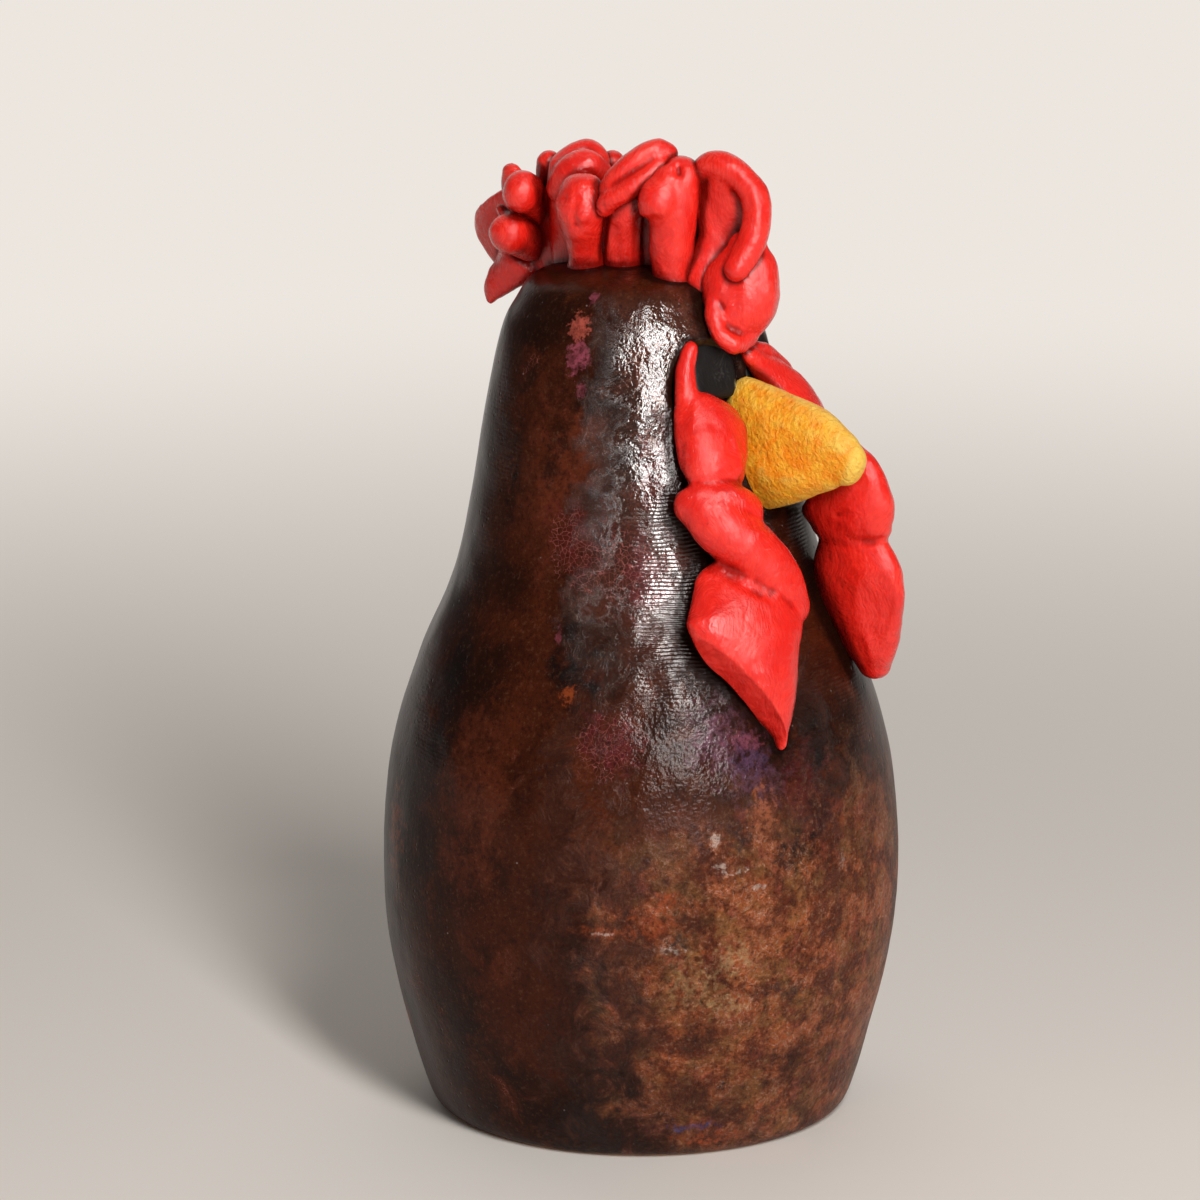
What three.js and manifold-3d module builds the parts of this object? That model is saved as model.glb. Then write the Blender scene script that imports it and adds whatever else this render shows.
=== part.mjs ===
// Chicken figurine: a wheel-thrown, hollow clay body with a hand-built comb, wattles, eyes and beak.
// Units are millimetres. +Z is up, the beak points to -Y, and the origin is the middle of the flat foot.
import * as THREE from 'three';
import { mergeVertices } from 'three/addons/utils/BufferGeometryUtils.js';
import Module from 'manifold-3d';

const wasm = await Module();
wasm.setup();

// Body, thrown on the wheel. A drop is measured down from the crown.
const BODY_HEIGHT = 195;
const FOOT_RADIUS = 46.8;
const FOOT_ROUND = 1.6;
const BELLY_RADIUS = 58.9;
const BELLY_HEIGHT = 57;
const CHEST_RADIUS = 50.4;
const CHEST_HEIGHT = 105;
const NECK_RADIUS = 37.7;
const NECK_HEIGHT = 142;
const CROWN_RADIUS = 29.7;
const CROWN_DROP = 16;
const SHOULDER_RADIUS = 22;
const SHOULDER_DROP = 3.4;
const HEAD_SET_BACK = 2.3;
const WALL = 6;
const FLOOR = 8;

// How far the thrown curve stands out from straight lines between the sizes above
const FOOT_SWELL = 1.6;
const BELLY_SWELL = 2.4;
const FLANK_SWELL = 2.5;
const BREAST_SWELL = -1.6;
const THROAT_SWELL = 0.3;
const CROWN_SWELL = 1;

// Faces of the turned skin and of the hollow in it, and the finer points that sizes are read from
const SKIN_STEPS = 32;
const SKIN_SIDES = 60;
const HOLLOW_STEPS = 14;
const HOLLOW_SIDES = 36;
const LEAST_STEP = 0.4;
const PROFILE_POINTS = 420;

// Vent that lets the air out of the hollow in the kiln, behind the middle of the foot
const VENT_DIAMETER = 3.4;
const VENT_BACK = 22;
const VENT_SIDES = 12;

// Gap between neighbouring pieces of clay
const CLEARANCE = 0.3;

// Two hollows thumbed into the head, one for each eye. Angles are measured round from the beak.
const SOCKET_ANGLE = 19;
const SOCKET_DROP = 21;
const SOCKET_HALF_WIDTH = 12;
const SOCKET_HALF_HEIGHT = 14;
const SOCKET_HALF_DEPTH = 8;
const SOCKET_DEPTH = 4.4;
const SOCKET_SIDES = 24;
const SOCKET_RINGS = 16;

// Eyes, two flat pats of clay, each laid in its socket
const EYE_ANGLE = 14;
const EYE_DROP = 21;
const EYE_WIDTH = 12;
const EYE_HEIGHT = 12.6;
const EYE_CORNER = 4;
const EYE_SUNK = 1.4;
const EYE_LEAN = 14;
const LEFT_EYE_LOWER = 3;

// The beak and the wattles start this far below the crown
const BEAK_DROP = 38;
const WATTLE_DROP = 13;

// The hand-made pieces are written in units of these lengths, so each can be made larger or smaller
const COMB_UNIT = 1;
const BEAK_UNIT = 1;
const WATTLE_UNIT = 1;

// Clay rolls are bent capsules with this many sides, and one step for each of these lengths
const ROLL_SIDES = 12;
const ROLL_CAP_STEPS = 3;
const ROLL_STEP = 4.2;

// Finishes
const GLAZE = new THREE.MeshStandardMaterial({ color: 0x2b1612, roughness: 0.2, metalness: 0.35 });
const RED = new THREE.MeshStandardMaterial({ color: 0xd91d10, roughness: 0.38, metalness: 0 });
const YELLOW = new THREE.MeshStandardMaterial({ color: 0xe89a12, roughness: 0.6, metalness: 0 });
const BLACK = new THREE.MeshStandardMaterial({ color: 0x0d0c0c, roughness: 0.75, metalness: 0 });

const RIGHT = 1;
const LEFT = -1;

// Places and directions

function radians(degrees) {
  return (degrees * Math.PI) / 180;
}

// A point from its distance forward, to the bird's right side, and up
function point(forward, side, height) {
  return new THREE.Vector3(-side, -forward, height);
}

// A direction turned from forward towards the bird's right side, then raised
function direction(turn, raise = 0) {
  const level = Math.cos(radians(raise));
  return point(Math.cos(radians(turn)) * level, Math.sin(radians(turn)) * level, Math.sin(radians(raise)));
}

// Solids

function solidFrom(geometry) {
  geometry.deleteAttribute('normal');
  geometry.deleteAttribute('uv');
  const merged = mergeVertices(geometry, 1e-4);
  return new wasm.Manifold(
    new wasm.Mesh({
      numProp: 3,
      vertProperties: new Float32Array(merged.attributes.position.array),
      triVerts: new Uint32Array(merged.index.array),
    }),
  );
}

function joined(solids) {
  return solids.reduce((whole, next) => whole.add(next));
}

// The main body of a solid, without the crumbs that its neighbours cut off
function mainBody(solid) {
  return solid.decompose().reduce((most, next) => (next.volume() > most.volume() ? next : most));
}

function geometryFrom(solid) {
  const mesh = solid.getMesh();
  const geometry = new THREE.BufferGeometry();
  geometry.setAttribute('position', new THREE.BufferAttribute(new Float32Array(mesh.vertProperties), 3));
  geometry.setIndex(new THREE.BufferAttribute(new Uint32Array(mesh.triVerts), 1));
  geometry.computeVertexNormals();
  return geometry;
}

// Moves each vertex of a geometry by a function that changes it in place
function reshape(geometry, change) {
  const position = geometry.attributes.position;
  const vertex = new THREE.Vector3();
  for (let i = 0; i < position.count; i += 1) {
    vertex.fromBufferAttribute(position, i);
    change(vertex);
    position.setXYZ(i, vertex.x, vertex.y, vertex.z);
  }
  return geometry;
}

// Body profile, as radius and height, from the foot to the middle of the crown
const crownHeight = BODY_HEIGHT - CROWN_DROP;
const foot = new THREE.Vector2(FOOT_RADIUS + FOOT_ROUND, 2 * FOOT_ROUND);
const belly = new THREE.Vector2(BELLY_RADIUS, BELLY_HEIGHT);
const chest = new THREE.Vector2(CHEST_RADIUS, CHEST_HEIGHT);
const neck = new THREE.Vector2(NECK_RADIUS, NECK_HEIGHT);
const crown = new THREE.Vector2(CROWN_RADIUS, crownHeight);
const shoulder = new THREE.Vector2(SHOULDER_RADIUS, BODY_HEIGHT - SHOULDER_DROP);
const top = new THREE.Vector2(0, BODY_HEIGHT);

// A point a share of the way between two others, moved out from the wheel's axis by swell
function between(from, to, share, swell) {
  return from.clone().lerp(to, share).add(new THREE.Vector2(swell, 0));
}

const profileCurve = new THREE.SplineCurve([
  new THREE.Vector2(FOOT_RADIUS - FOOT_ROUND, 0),
  foot,
  between(foot, belly, 0.27, FOOT_SWELL),
  between(foot, belly, 0.62, BELLY_SWELL),
  belly,
  between(belly, chest, 0.54, FLANK_SWELL),
  chest,
  between(chest, neck, 0.5, BREAST_SWELL),
  neck,
  between(neck, crown, 0.5, THROAT_SWELL),
  crown,
  between(crown, shoulder, 0.55, CROWN_SWELL),
  shoulder,
  new THREE.Vector2(SHOULDER_RADIUS * 0.55, BODY_HEIGHT - SHOULDER_DROP * 0.2),
  top,
]);
const fineProfile = profileCurve.getPoints(PROFILE_POINTS);

function bodyRadius(height) {
  const next = fineProfile.findIndex((p) => p.y >= height);
  if (next < 1) {
    return next === 0 ? fineProfile[0].x : 0;
  }
  const low = fineProfile[next - 1];
  const high = fineProfile[next];
  return THREE.MathUtils.mapLinear(height, low.y, high.y, low.x, high.x);
}

// The head leans back a little: its middle moves away from the beak with height
function setBack(height) {
  return HEAD_SET_BACK * THREE.MathUtils.smoothstep(height, CHEST_HEIGHT, crownHeight);
}

// A point at an angle round from the beak, a height, and a distance off the skin
function offSkin(angle, height, off) {
  const radius = bodyRadius(height) + off;
  const round = radians(angle);
  return point(radius * Math.cos(round) - setBack(height), radius * Math.sin(round), height);
}

// Body form whose skin lies outside the profile by grow, or inside it where grow is negative
function turnedBody(grow, steps, sides, bottom) {
  const outline = [new THREE.Vector2(0, bottom), new THREE.Vector2(bodyRadius(Math.max(bottom, 0)) + grow, bottom)];
  for (let i = 1; i < steps; i += 1) {
    const place = profileCurve.getPoint(i / steps);
    const along = profileCurve.getTangent(i / steps);
    const rim = new THREE.Vector2(place.x + along.y * grow, place.y - along.x * grow);
    if (rim.x > LEAST_STEP && rim.y > outline[outline.length - 1].y + LEAST_STEP) {
      outline.push(rim);
    }
  }
  outline.push(new THREE.Vector2(top.x, top.y + grow));
  const geometry = new THREE.LatheGeometry(outline, sides);
  geometry.rotateX(Math.PI / 2);
  reshape(geometry, (vertex) => {
    vertex.y += setBack(vertex.z);
  });
  return solidFrom(geometry);
}

// A thumbed hollow, as the solid that presses it. Grow is negative where it presses less deep.
function socketPress(mirror, grow) {
  const geometry = new THREE.SphereGeometry(1, SOCKET_SIDES, SOCKET_RINGS);
  geometry.scale(SOCKET_HALF_WIDTH + grow, SOCKET_HALF_DEPTH + grow, SOCKET_HALF_HEIGHT + grow);
  geometry.rotateX(radians(EYE_LEAN));
  geometry.rotateZ(-radians(SOCKET_ANGLE * mirror));
  const middle = offSkin(SOCKET_ANGLE * mirror, BODY_HEIGHT - SOCKET_DROP, SOCKET_HALF_DEPTH - SOCKET_DEPTH);
  geometry.translate(middle.x, middle.y, middle.z);
  return solidFrom(geometry);
}

function bodySkin(grow) {
  return turnedBody(grow, SKIN_STEPS, SKIN_SIDES, -grow)
    .subtract(socketPress(RIGHT, -grow))
    .subtract(socketPress(LEFT, -grow));
}

function bodyShell() {
  const vent = new THREE.CylinderGeometry(VENT_DIAMETER / 2, VENT_DIAMETER / 2, FLOOR * 3, VENT_SIDES);
  vent.rotateX(Math.PI / 2);
  vent.translate(0, VENT_BACK, 0);
  const hollow = turnedBody(-WALL, HOLLOW_STEPS, HOLLOW_SIDES, FLOOR)
    .subtract(socketPress(RIGHT, WALL))
    .subtract(socketPress(LEFT, WALL));
  return bodySkin(0).subtract(hollow).subtract(solidFrom(vent));
}

// Place of an eye: the middle of its face, sunk below the skin
function eyeMiddle(mirror) {
  const height = BODY_HEIGHT - EYE_DROP - (mirror === LEFT ? LEFT_EYE_LOWER : 0);
  return offSkin(EYE_ANGLE * mirror, height, -EYE_SUNK);
}

// A rounded pat of clay, as deep as the socket, facing out of it
function eyePat(mirror, grow) {
  const width = EYE_WIDTH / 2 + grow;
  const height = EYE_HEIGHT / 2 + grow;
  const outline = new THREE.Shape();
  outline.moveTo(-width + EYE_CORNER, -height);
  outline.lineTo(width - EYE_CORNER, -height);
  outline.quadraticCurveTo(width, -height, width, -height + EYE_CORNER);
  outline.lineTo(width, height - EYE_CORNER);
  outline.quadraticCurveTo(width, height, width - EYE_CORNER, height);
  outline.lineTo(-width + EYE_CORNER, height);
  outline.quadraticCurveTo(-width, height, -width, height - EYE_CORNER);
  outline.lineTo(-width, -height + EYE_CORNER);
  outline.quadraticCurveTo(-width, -height, -width + EYE_CORNER, -height);
  const pat = new THREE.ExtrudeGeometry(outline, {
    depth: SOCKET_DEPTH + 2 * grow,
    bevelEnabled: false,
    curveSegments: 5,
  });
  pat.translate(0, 0, -SOCKET_DEPTH - grow);
  const outward = direction(EYE_ANGLE * mirror, EYE_LEAN);
  const across = new THREE.Vector3(0, 0, 1).cross(outward).normalize();
  const upward = outward.clone().cross(across);
  pat.applyMatrix4(new THREE.Matrix4().makeBasis(across, upward, outward).setPosition(eyeMiddle(mirror)));
  return solidFrom(pat);
}

// A roll of clay: a capsule bent along its stations. A station holds its place, the way that the thin
// side of the roll faces there, and how wide and how thick the roll is.
function clayRoll(stations, grow) {
  const path = new THREE.CatmullRomCurve3(stations.map((s) => s.place), false, 'centripetal');
  const steps = Math.max(Math.round(path.getLength() / ROLL_STEP), stations.length);
  const capsule = new THREE.CapsuleGeometry(1, 1, ROLL_CAP_STEPS, ROLL_SIDES, steps);
  const last = stations.length - 1;
  reshape(capsule, (vertex) => {
    const along = THREE.MathUtils.clamp(vertex.y + 0.5, 0, 1);
    const beyond = vertex.y + 0.5 - along;
    const index = Math.min(Math.floor(along * last), last - 1);
    const part = THREE.MathUtils.smoothstep(along * last - index, 0, 1);
    const from = stations[index];
    const to = stations[index + 1];
    const wide = THREE.MathUtils.lerp(from.wide, to.wide, part) + 2 * grow;
    const thick = THREE.MathUtils.lerp(from.thick, to.thick, part) + 2 * grow;
    const tangent = path.getTangent(along);
    const broad = tangent.clone().cross(from.facing.clone().lerp(to.facing, part)).normalize();
    const thin = broad.clone().cross(tangent);
    const { x, z } = vertex;
    vertex
      .copy(path.getPoint(along))
      .addScaledVector(broad, (x * wide) / 2)
      .addScaledVector(thin, (z * thick) / 2)
      .addScaledVector(tangent, (beyond * Math.min(wide, thick)) / 2);
  });
  return solidFrom(capsule);
}

// A station on the comb: forward, to the right side and up from the middle of the crown
function onComb(forward, side, rise, wide, thick, turn = 90, raise = 0) {
  const place = point(forward, side, rise).multiplyScalar(COMB_UNIT);
  place.z += BODY_HEIGHT;
  return { place, facing: direction(turn, raise), wide: wide * COMB_UNIT, thick: thick * COMB_UNIT };
}

// A station on the beak: out from the skin, and lower than its root, on the middle plane of the bird
function onBeak(out, lower, wide, thick) {
  const place = offSkin(0, BODY_HEIGHT - BEAK_DROP, out * BEAK_UNIT);
  place.z -= lower * BEAK_UNIT;
  return {
    place,
    facing: direction(90),
    wide: wide * BEAK_UNIT,
    thick: thick * BEAK_UNIT,
  };
}

// A station on a wattle: its angle round from the beak, how much lower it is than the wattle's start,
// and how far it stands off the skin
function onWattle(mirror, angle, lower, off, wide, thick, turn = 0) {
  const height = BODY_HEIGHT - WATTLE_DROP - lower * WATTLE_UNIT;
  return {
    place: offSkin(angle * mirror, height, off * WATTLE_UNIT),
    facing: direction((angle + turn) * mirror),
    wide: wide * WATTLE_UNIT,
    thick: thick * WATTLE_UNIT,
  };
}

const beak = [
  [
    onBeak(-3, 0.5, 31, 12),
    onBeak(6, 0, 26, 13),
    onBeak(15, -0.5, 20.5, 12),
    onBeak(22, 0, 14.5, 10),
    onBeak(24.5, 0.8, 11, 8),
  ],
];

const combThickFinger = [
  [onComb(17, 7, -2, 9, 12), onComb(18.5, 9, 5, 12.5, 13), onComb(17, 8, 13, 13.5, 13), onComb(13.5, 6, 20, 11, 9)],
  [onComb(15, 9, 17, 8, 8, 0), onComb(15.5, 13, 16.8, 7.5, 7.5, 0)],
];

const combKnobbedFinger = [
  [onComb(-1, 11, -3, 9, 11), onComb(-2, 13, 4, 8, 10), onComb(-5, 13.5, 12, 11.5, 11.5), onComb(-7, 10, 17.5, 6, 6)],
];

const combFoldedFinger = [
  [onComb(5, 6, -3, 12, 14), onComb(4.5, 6, 6, 11.5, 14), onComb(4, 5, 15, 11, 10), onComb(7, 1, 22, 9, 7)],
  [
    onComb(-1.5, 12, 13.5, 9, 7, 90, 30),
    onComb(4, 9.5, 19, 12, 8, 90, 30),
    onComb(8.5, 4, 24, 9.5, 6.5, 90, 30),
  ],
];

const combFrontFlap = [
  [
    onComb(14, 0, 21.5, 7, 8),
    onComb(19, -1, 22.5, 9, 9),
    onComb(25.5, -1, 20, 10, 10),
    onComb(31, 1, 14.5, 10, 10),
    onComb(33, 4, 9, 9, 9),
    onComb(33.5, 9, 3.5, 7.5, 8),
  ],
  [onComb(18, -1, -4, 19, 8), onComb(22, -2, 5, 24, 8), onComb(22, -2, 15, 20, 8)],
];

const combFrontLobe = [
  [
    onComb(27, -1, 8, 14, 9, 60),
    onComb(28, 1, -1, 20, 10, 60),
    onComb(28, 2, -9, 19, 10, 50),
    onComb(26.5, 2.5, -15, 11, 8, 40),
  ],
];

const combTopCurl = [
  [
    onComb(-17, 1, -3, 14, 11),
    onComb(-19, 2, 9, 12, 9),
    onComb(-20, 3, 18, 8, 7),
    onComb(-20, -4, 22, 7, 6, 0),
    onComb(-15, -8, 19.5, 7, 6, 0),
  ],
  [onComb(-18, 5, 16.5, 9, 7), onComb(-11, 5.5, 18.5, 8.5, 7)],
];

const combTopKnob = [[onComb(-23, -5, -5, 9, 9), onComb(-26, -4, 9, 7.5, 7.5), onComb(-26, 1, 19, 6.5, 6.5)]];

const combSmallKnob = [[onComb(-10, -3, -4, 14, 13), onComb(-11.5, -6, 8, 10, 10), onComb(-14, -8, 19.5, 6, 6)]];

const combRearFlap = [
  [
    onComb(-19, -1, -4, 17, 9),
    onComb(-30, -1.5, 1.5, 27, 9),
    onComb(-41, -2, 0, 24, 7.5),
    onComb(-46.5, -2.5, -1.5, 15, 5),
  ],
  [onComb(-33, -2, 8, 15, 7), onComb(-41, -2, 14.5, 8, 5)],
  [onComb(-34, 2, -3, 15, 6), onComb(-41, 2, -11, 5, 4)],
];

const combRearUpperKnob = [
  [onComb(-28, 2, 10, 9, 9, 0), onComb(-27, 7, 13, 9.5, 9.5, 0), onComb(-26, 11, 15, 9.8, 9.8, 0)],
];

const combRearLowerKnob = [
  [onComb(-30, 2, 2, 9, 9, 0), onComb(-29.5, 7, 3.8, 9.5, 9.5, 0), onComb(-29, 11.5, 5.4, 9.8, 9.8, 0)],
];

// The right wattle lies on the throat
const rightWattle = [
  [
    onWattle(RIGHT, 20, 0, -0.5, 3, 4, 20),
    onWattle(RIGHT, 29, 2.5, 0, 4.5, 4.5, 20),
    onWattle(RIGHT, 34, 7, 1, 6, 5, 10),
    onWattle(RIGHT, 33, 12, 1.8, 8, 6),
    onWattle(RIGHT, 27.5, 18, 3, 15, 7),
    onWattle(RIGHT, 27, 24, 4, 16, 8),
    onWattle(RIGHT, 26.5, 30.5, 5, 17.5, 9),
    onWattle(RIGHT, 26.5, 37.5, 6, 25, 11, -5),
    onWattle(RIGHT, 21, 45, 7.5, 21, 10, -10),
    onWattle(RIGHT, 12.5, 52.5, 8, 11, 8, -10),
  ],
  [
    onWattle(RIGHT, 24, 49, 4, 18, 6),
    onWattle(RIGHT, 23, 56.5, 6.5, 31, 10),
    onWattle(RIGHT, 22.5, 66, 5, 25, 9),
    onWattle(RIGHT, 21, 77, 3, 15, 7),
    onWattle(RIGHT, 19.5, 86.5, 1.5, 3.5, 3),
  ],
];

// The left wattle loops round the eye and then hangs clear of the throat, edge on
const leftWattle = [
  [
    onWattle(LEFT, 1, 4, 1, 6, 5),
    onWattle(LEFT, 7, 9.5, 1, 6.5, 6),
    onWattle(LEFT, 19, 15, 2.5, 14, 6.5),
    onWattle(LEFT, 24, 23, 4.5, 16, 8, 10),
    onWattle(LEFT, 20.5, 30, 9, 19, 10, 35),
    onWattle(LEFT, 16, 36.5, 13, 25, 11, 60),
    onWattle(LEFT, 15.5, 44, 12.5, 21, 10, 60),
    onWattle(LEFT, 15.3, 48.5, 12, 17, 8, 60),
  ],
  [onWattle(LEFT, 29, 9.5, 0, 5, 5), onWattle(LEFT, 33, 13, 1, 7, 5.5), onWattle(LEFT, 28, 20, 3, 13, 7)],
  [
    onWattle(LEFT, 15.5, 47, 11.5, 17, 7, 60),
    onWattle(LEFT, 15.6, 57.5, 11.5, 23, 9.5, 60),
    onWattle(LEFT, 15.8, 68, 8, 16.5, 8.5, 60),
    onWattle(LEFT, 16, 76, 6, 9, 6.5, 60),
  ],
];

// Clay pieces in the order in which they are laid on
const rolledPieces = [
  ['beak', YELLOW, beak],
  ['comb_thick_finger', RED, combThickFinger],
  ['comb_knobbed_finger', RED, combKnobbedFinger],
  ['comb_folded_finger', RED, combFoldedFinger],
  ['comb_front_flap', RED, combFrontFlap],
  ['comb_front_lobe', RED, combFrontLobe],
  ['comb_top_curl', RED, combTopCurl],
  ['comb_top_knob', RED, combTopKnob],
  ['comb_small_knob', RED, combSmallKnob],
  ['comb_rear_flap', RED, combRearFlap],
  ['comb_rear_upper_knob', RED, combRearUpperKnob],
  ['comb_rear_lower_knob', RED, combRearLowerKnob],
  ['right_wattle', RED, rightWattle],
  ['left_wattle', RED, leftWattle],
];

// The figurine, with the origin of each piece where it is rooted
const figurine = new THREE.Group();

function addPiece(name, finish, solid, origin) {
  const mesh = new THREE.Mesh(geometryFrom(mainBody(solid)).translate(-origin.x, -origin.y, -origin.z), finish);
  mesh.name = name;
  mesh.position.copy(origin);
  figurine.add(mesh);
}

addPiece('body_shell', GLAZE, bodyShell(), new THREE.Vector3());

// Each piece is cut back from all that was laid before it, by the clearance
let taken = bodySkin(CLEARANCE);

for (const [name, mirror] of [['right_eye', RIGHT], ['left_eye', LEFT]]) {
  addPiece(name, BLACK, eyePat(mirror, 0).subtract(taken), eyeMiddle(mirror));
  taken = taken.add(eyePat(mirror, CLEARANCE));
}

for (const [name, finish, rolls] of rolledPieces) {
  const grown = (grow) => joined(rolls.map((stations) => clayRoll(stations, grow)));
  addPiece(name, finish, grown(0).subtract(taken), rolls[0][0].place);
  taken = taken.add(grown(CLEARANCE));
}

export default figurine;
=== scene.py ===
# %% [markdown]
# # A raku chicken, from the wheel to the studio
# The real bird is a hollow pot. A potter throws the body on a wheel, closes it at the crown, thumbs two
# hollows into the soft clay for the eyes, and presses rolls of clay onto the head for the comb, the
# wattles and the beak. After a smoky firing the body has a copper-lustre glaze, and the small pieces
# are painted. This lesson makes the pieces in the potter's order, and then glazes, lights and frames
# the bird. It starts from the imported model, which fixes the size and the place of every piece.

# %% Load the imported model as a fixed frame
import math

import bmesh
import bpy
from mathutils import Matrix, Vector, noise
from mathutils.bvhtree import BVHTree


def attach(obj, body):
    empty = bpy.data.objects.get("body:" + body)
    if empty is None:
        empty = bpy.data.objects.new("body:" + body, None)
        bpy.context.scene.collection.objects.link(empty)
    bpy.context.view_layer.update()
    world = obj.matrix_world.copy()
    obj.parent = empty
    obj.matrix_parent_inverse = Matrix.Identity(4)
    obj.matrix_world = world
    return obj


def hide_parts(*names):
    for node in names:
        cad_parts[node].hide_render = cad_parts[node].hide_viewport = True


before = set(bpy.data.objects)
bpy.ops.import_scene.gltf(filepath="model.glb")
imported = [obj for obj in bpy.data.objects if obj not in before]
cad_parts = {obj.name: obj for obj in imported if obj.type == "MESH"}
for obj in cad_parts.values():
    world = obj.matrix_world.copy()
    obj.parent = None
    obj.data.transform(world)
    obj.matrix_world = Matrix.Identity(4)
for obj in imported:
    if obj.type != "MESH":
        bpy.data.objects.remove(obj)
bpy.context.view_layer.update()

# %% [markdown]
# ## Working in millimetres
# Clay is easier to think about in millimetres, so every mesh is made in them and is scaled to metres
# as its last step. The body's profile is given as a radius and a height at each place where a potter
# would check it with callipers. A smooth curve runs through those places, as it does through the
# stations of each roll of clay later on, so one function serves both.

# %% Set the thrown profile and a smooth curve through points
MM = 0.001
BODY_HEIGHT = 195
PROFILE = [
    (45.2, 0), (48.4, 3.2), (52.8, 17.7), (57.3, 36.6), (58.9, 57), (56.8, 83), (50.4, 105),
    (42.4, 123.5), (37.7, 142), (34, 160.5), (29.7, 179), (26.5, 186), (22, 191.6), (12.1, 194.3),
    (0, BODY_HEIGHT),
]
HEAD_SET_BACK = 2.3
SET_BACK_FROM = 105
SET_BACK_TO = 179


def through(points, steps):
    """Places on a smooth curve through points, with this many steps from each point to the next."""
    points = [Vector(point) for point in points]
    ends = [points[0], *points, points[-1]]
    places = []
    for before, start, end, after in zip(ends, ends[1:], ends[2:], ends[3:]):
        for step in range(steps):
            t = step / steps
            straight = (end - before) * t
            bend = (2 * before - 5 * start + 4 * end - after) * t * t
            twist = (3 * start - before - 3 * end + after) * t * t * t
            places.append(start + 0.5 * (straight + bend + twist))
    places.append(points[-1])
    return places


profile_line = through(PROFILE, 18)
print("the profile has", len(profile_line), "rows")

# %% [markdown]
# ## Places on the bird
# A point on the body is easiest to say as an angle round from the beak, a drop below the crown and a
# distance off the skin. A point on the comb is said as a distance forward, to the bird's right side
# and up from the crown. The head leans back a little, so its middle moves away from the beak with
# height.


# %% Turn those measures into points
def ease(value, low, high):
    """Rises smoothly from 0 at low to 1 at high."""
    share = min(max((value - low) / (high - low), 0), 1)
    return share * share * (3 - 2 * share)


def set_back(height):
    return HEAD_SET_BACK * ease(height, SET_BACK_FROM, SET_BACK_TO)


def body_radius(height):
    for low, high in zip(profile_line, profile_line[1:]):
        if low.y <= height <= high.y:
            share = (height - low.y) / max(high.y - low.y, 1e-6)
            return low.x + (high.x - low.x) * share
    return 0


def on_skin(angle, drop, off=0):
    height = BODY_HEIGHT - drop
    reach = body_radius(height) + off
    turn = math.radians(angle)
    return Vector((-reach * math.sin(turn), set_back(height) - reach * math.cos(turn), height))


def on_comb(forward, side, rise):
    return Vector((-side, -forward, BODY_HEIGHT + rise))


def facing(turn, rise=0):
    """A direction turned from the beak towards the bird's right side, and raised."""
    level = math.cos(math.radians(rise))
    round_ = math.radians(turn)
    return Vector((-math.sin(round_) * level, -math.cos(round_) * level, math.sin(math.radians(rise))))


print("the skin beside the near eye is at", [round(x, 1) for x in on_skin(19, 21)])

# %% [markdown]
# ## Finishing a piece
# Every piece ends in the same way. One function keeps those steps the same for all of them.

# %% Turn a finished mesh into a piece of the bird
pieces = {}


def finish_piece(name, bm):
    mesh = bpy.data.meshes.new(name)
    bmesh.ops.scale(bm, vec=(MM, MM, MM), verts=bm.verts)
    bm.to_mesh(mesh)
    bm.free()
    mesh.shade_smooth()
    piece = bpy.data.objects.new(name, mesh)
    bpy.context.scene.collection.objects.link(piece)
    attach(piece, "root")
    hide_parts(name.removesuffix("_clay"))
    pieces[name] = piece
    print(name, "has", len(mesh.polygons), "faces")
    return piece


# %% [markdown]
# ## The body
# A wheel-thrown form is what the spin operator does: a profile turned about an axis. The outer skin
# and the inner wall are spun apart, because the inner one faces inwards and needs fewer faces. A
# potter's wall is never quite even, so the skin is moved in and out by a fraction of a millimetre of
# smooth noise. The vent under the foot, which lets the air out in the kiln, is cut with a boolean.

# %% Spin the skin and the inner wall
SKIN_SIDES = 256
WALL_SIDES = 64
WALL = 6
FLOOR = 8
VENT_RADIUS = 1.7
VENT_BACK = 22
UNDERSIDE_RINGS = [0, 12, 24, 36]


def spun(outline, sides):
    bm = bmesh.new()
    verts = [bm.verts.new((radius, 0, height)) for radius, height in outline]
    edges = [bm.edges.new(pair) for pair in zip(verts, verts[1:])]
    bmesh.ops.spin(bm, geom=verts + edges, axis=(0, 0, 1), angle=math.tau, steps=sides, use_merge=True)
    bmesh.ops.remove_doubles(bm, verts=bm.verts, dist=0.001)
    bmesh.ops.recalc_face_normals(bm, faces=bm.faces)
    return bm


skin = spun([(radius, 0) for radius in UNDERSIDE_RINGS] + [tuple(row) for row in profile_line], SKIN_SIDES)

inner_line = [row for row in profile_line[::6] if FLOOR + 2 < row.y < BODY_HEIGHT - WALL - 2]
inner_outline = [(0, FLOOR), (inner_line[0].x - WALL, FLOOR)]
inner_outline += [(row.x - WALL, row.y) for row in inner_line if row.x > WALL + 4]
inner_outline += [(0, BODY_HEIGHT - WALL)]
inner = spun(inner_outline, WALL_SIDES)
print("skin faces", len(skin.faces), "inner faces", len(inner.faces))

# %% [markdown]
# ### Thumbed eye hollows
# The maker pressed a thumb into the head on each side of the beak. The hollow is part of an
# ellipsoid, so a vertex that lies inside the ellipsoid is moved straight in until it meets the far
# side. The glaze that ran to the edge of the hollow left a thin raised lip round it.

# %% Press the hollows and add the potter's unevenness
SOCKET_ANGLE = 19
SOCKET_DROP = 21
SOCKET_HALVES = Vector((12, 8, 14))
SOCKET_DEPTH = 4.4
EYE_LEAN = 14
LIP_HEIGHT = 0.35
LIP_WIDTH = 0.05


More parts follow.
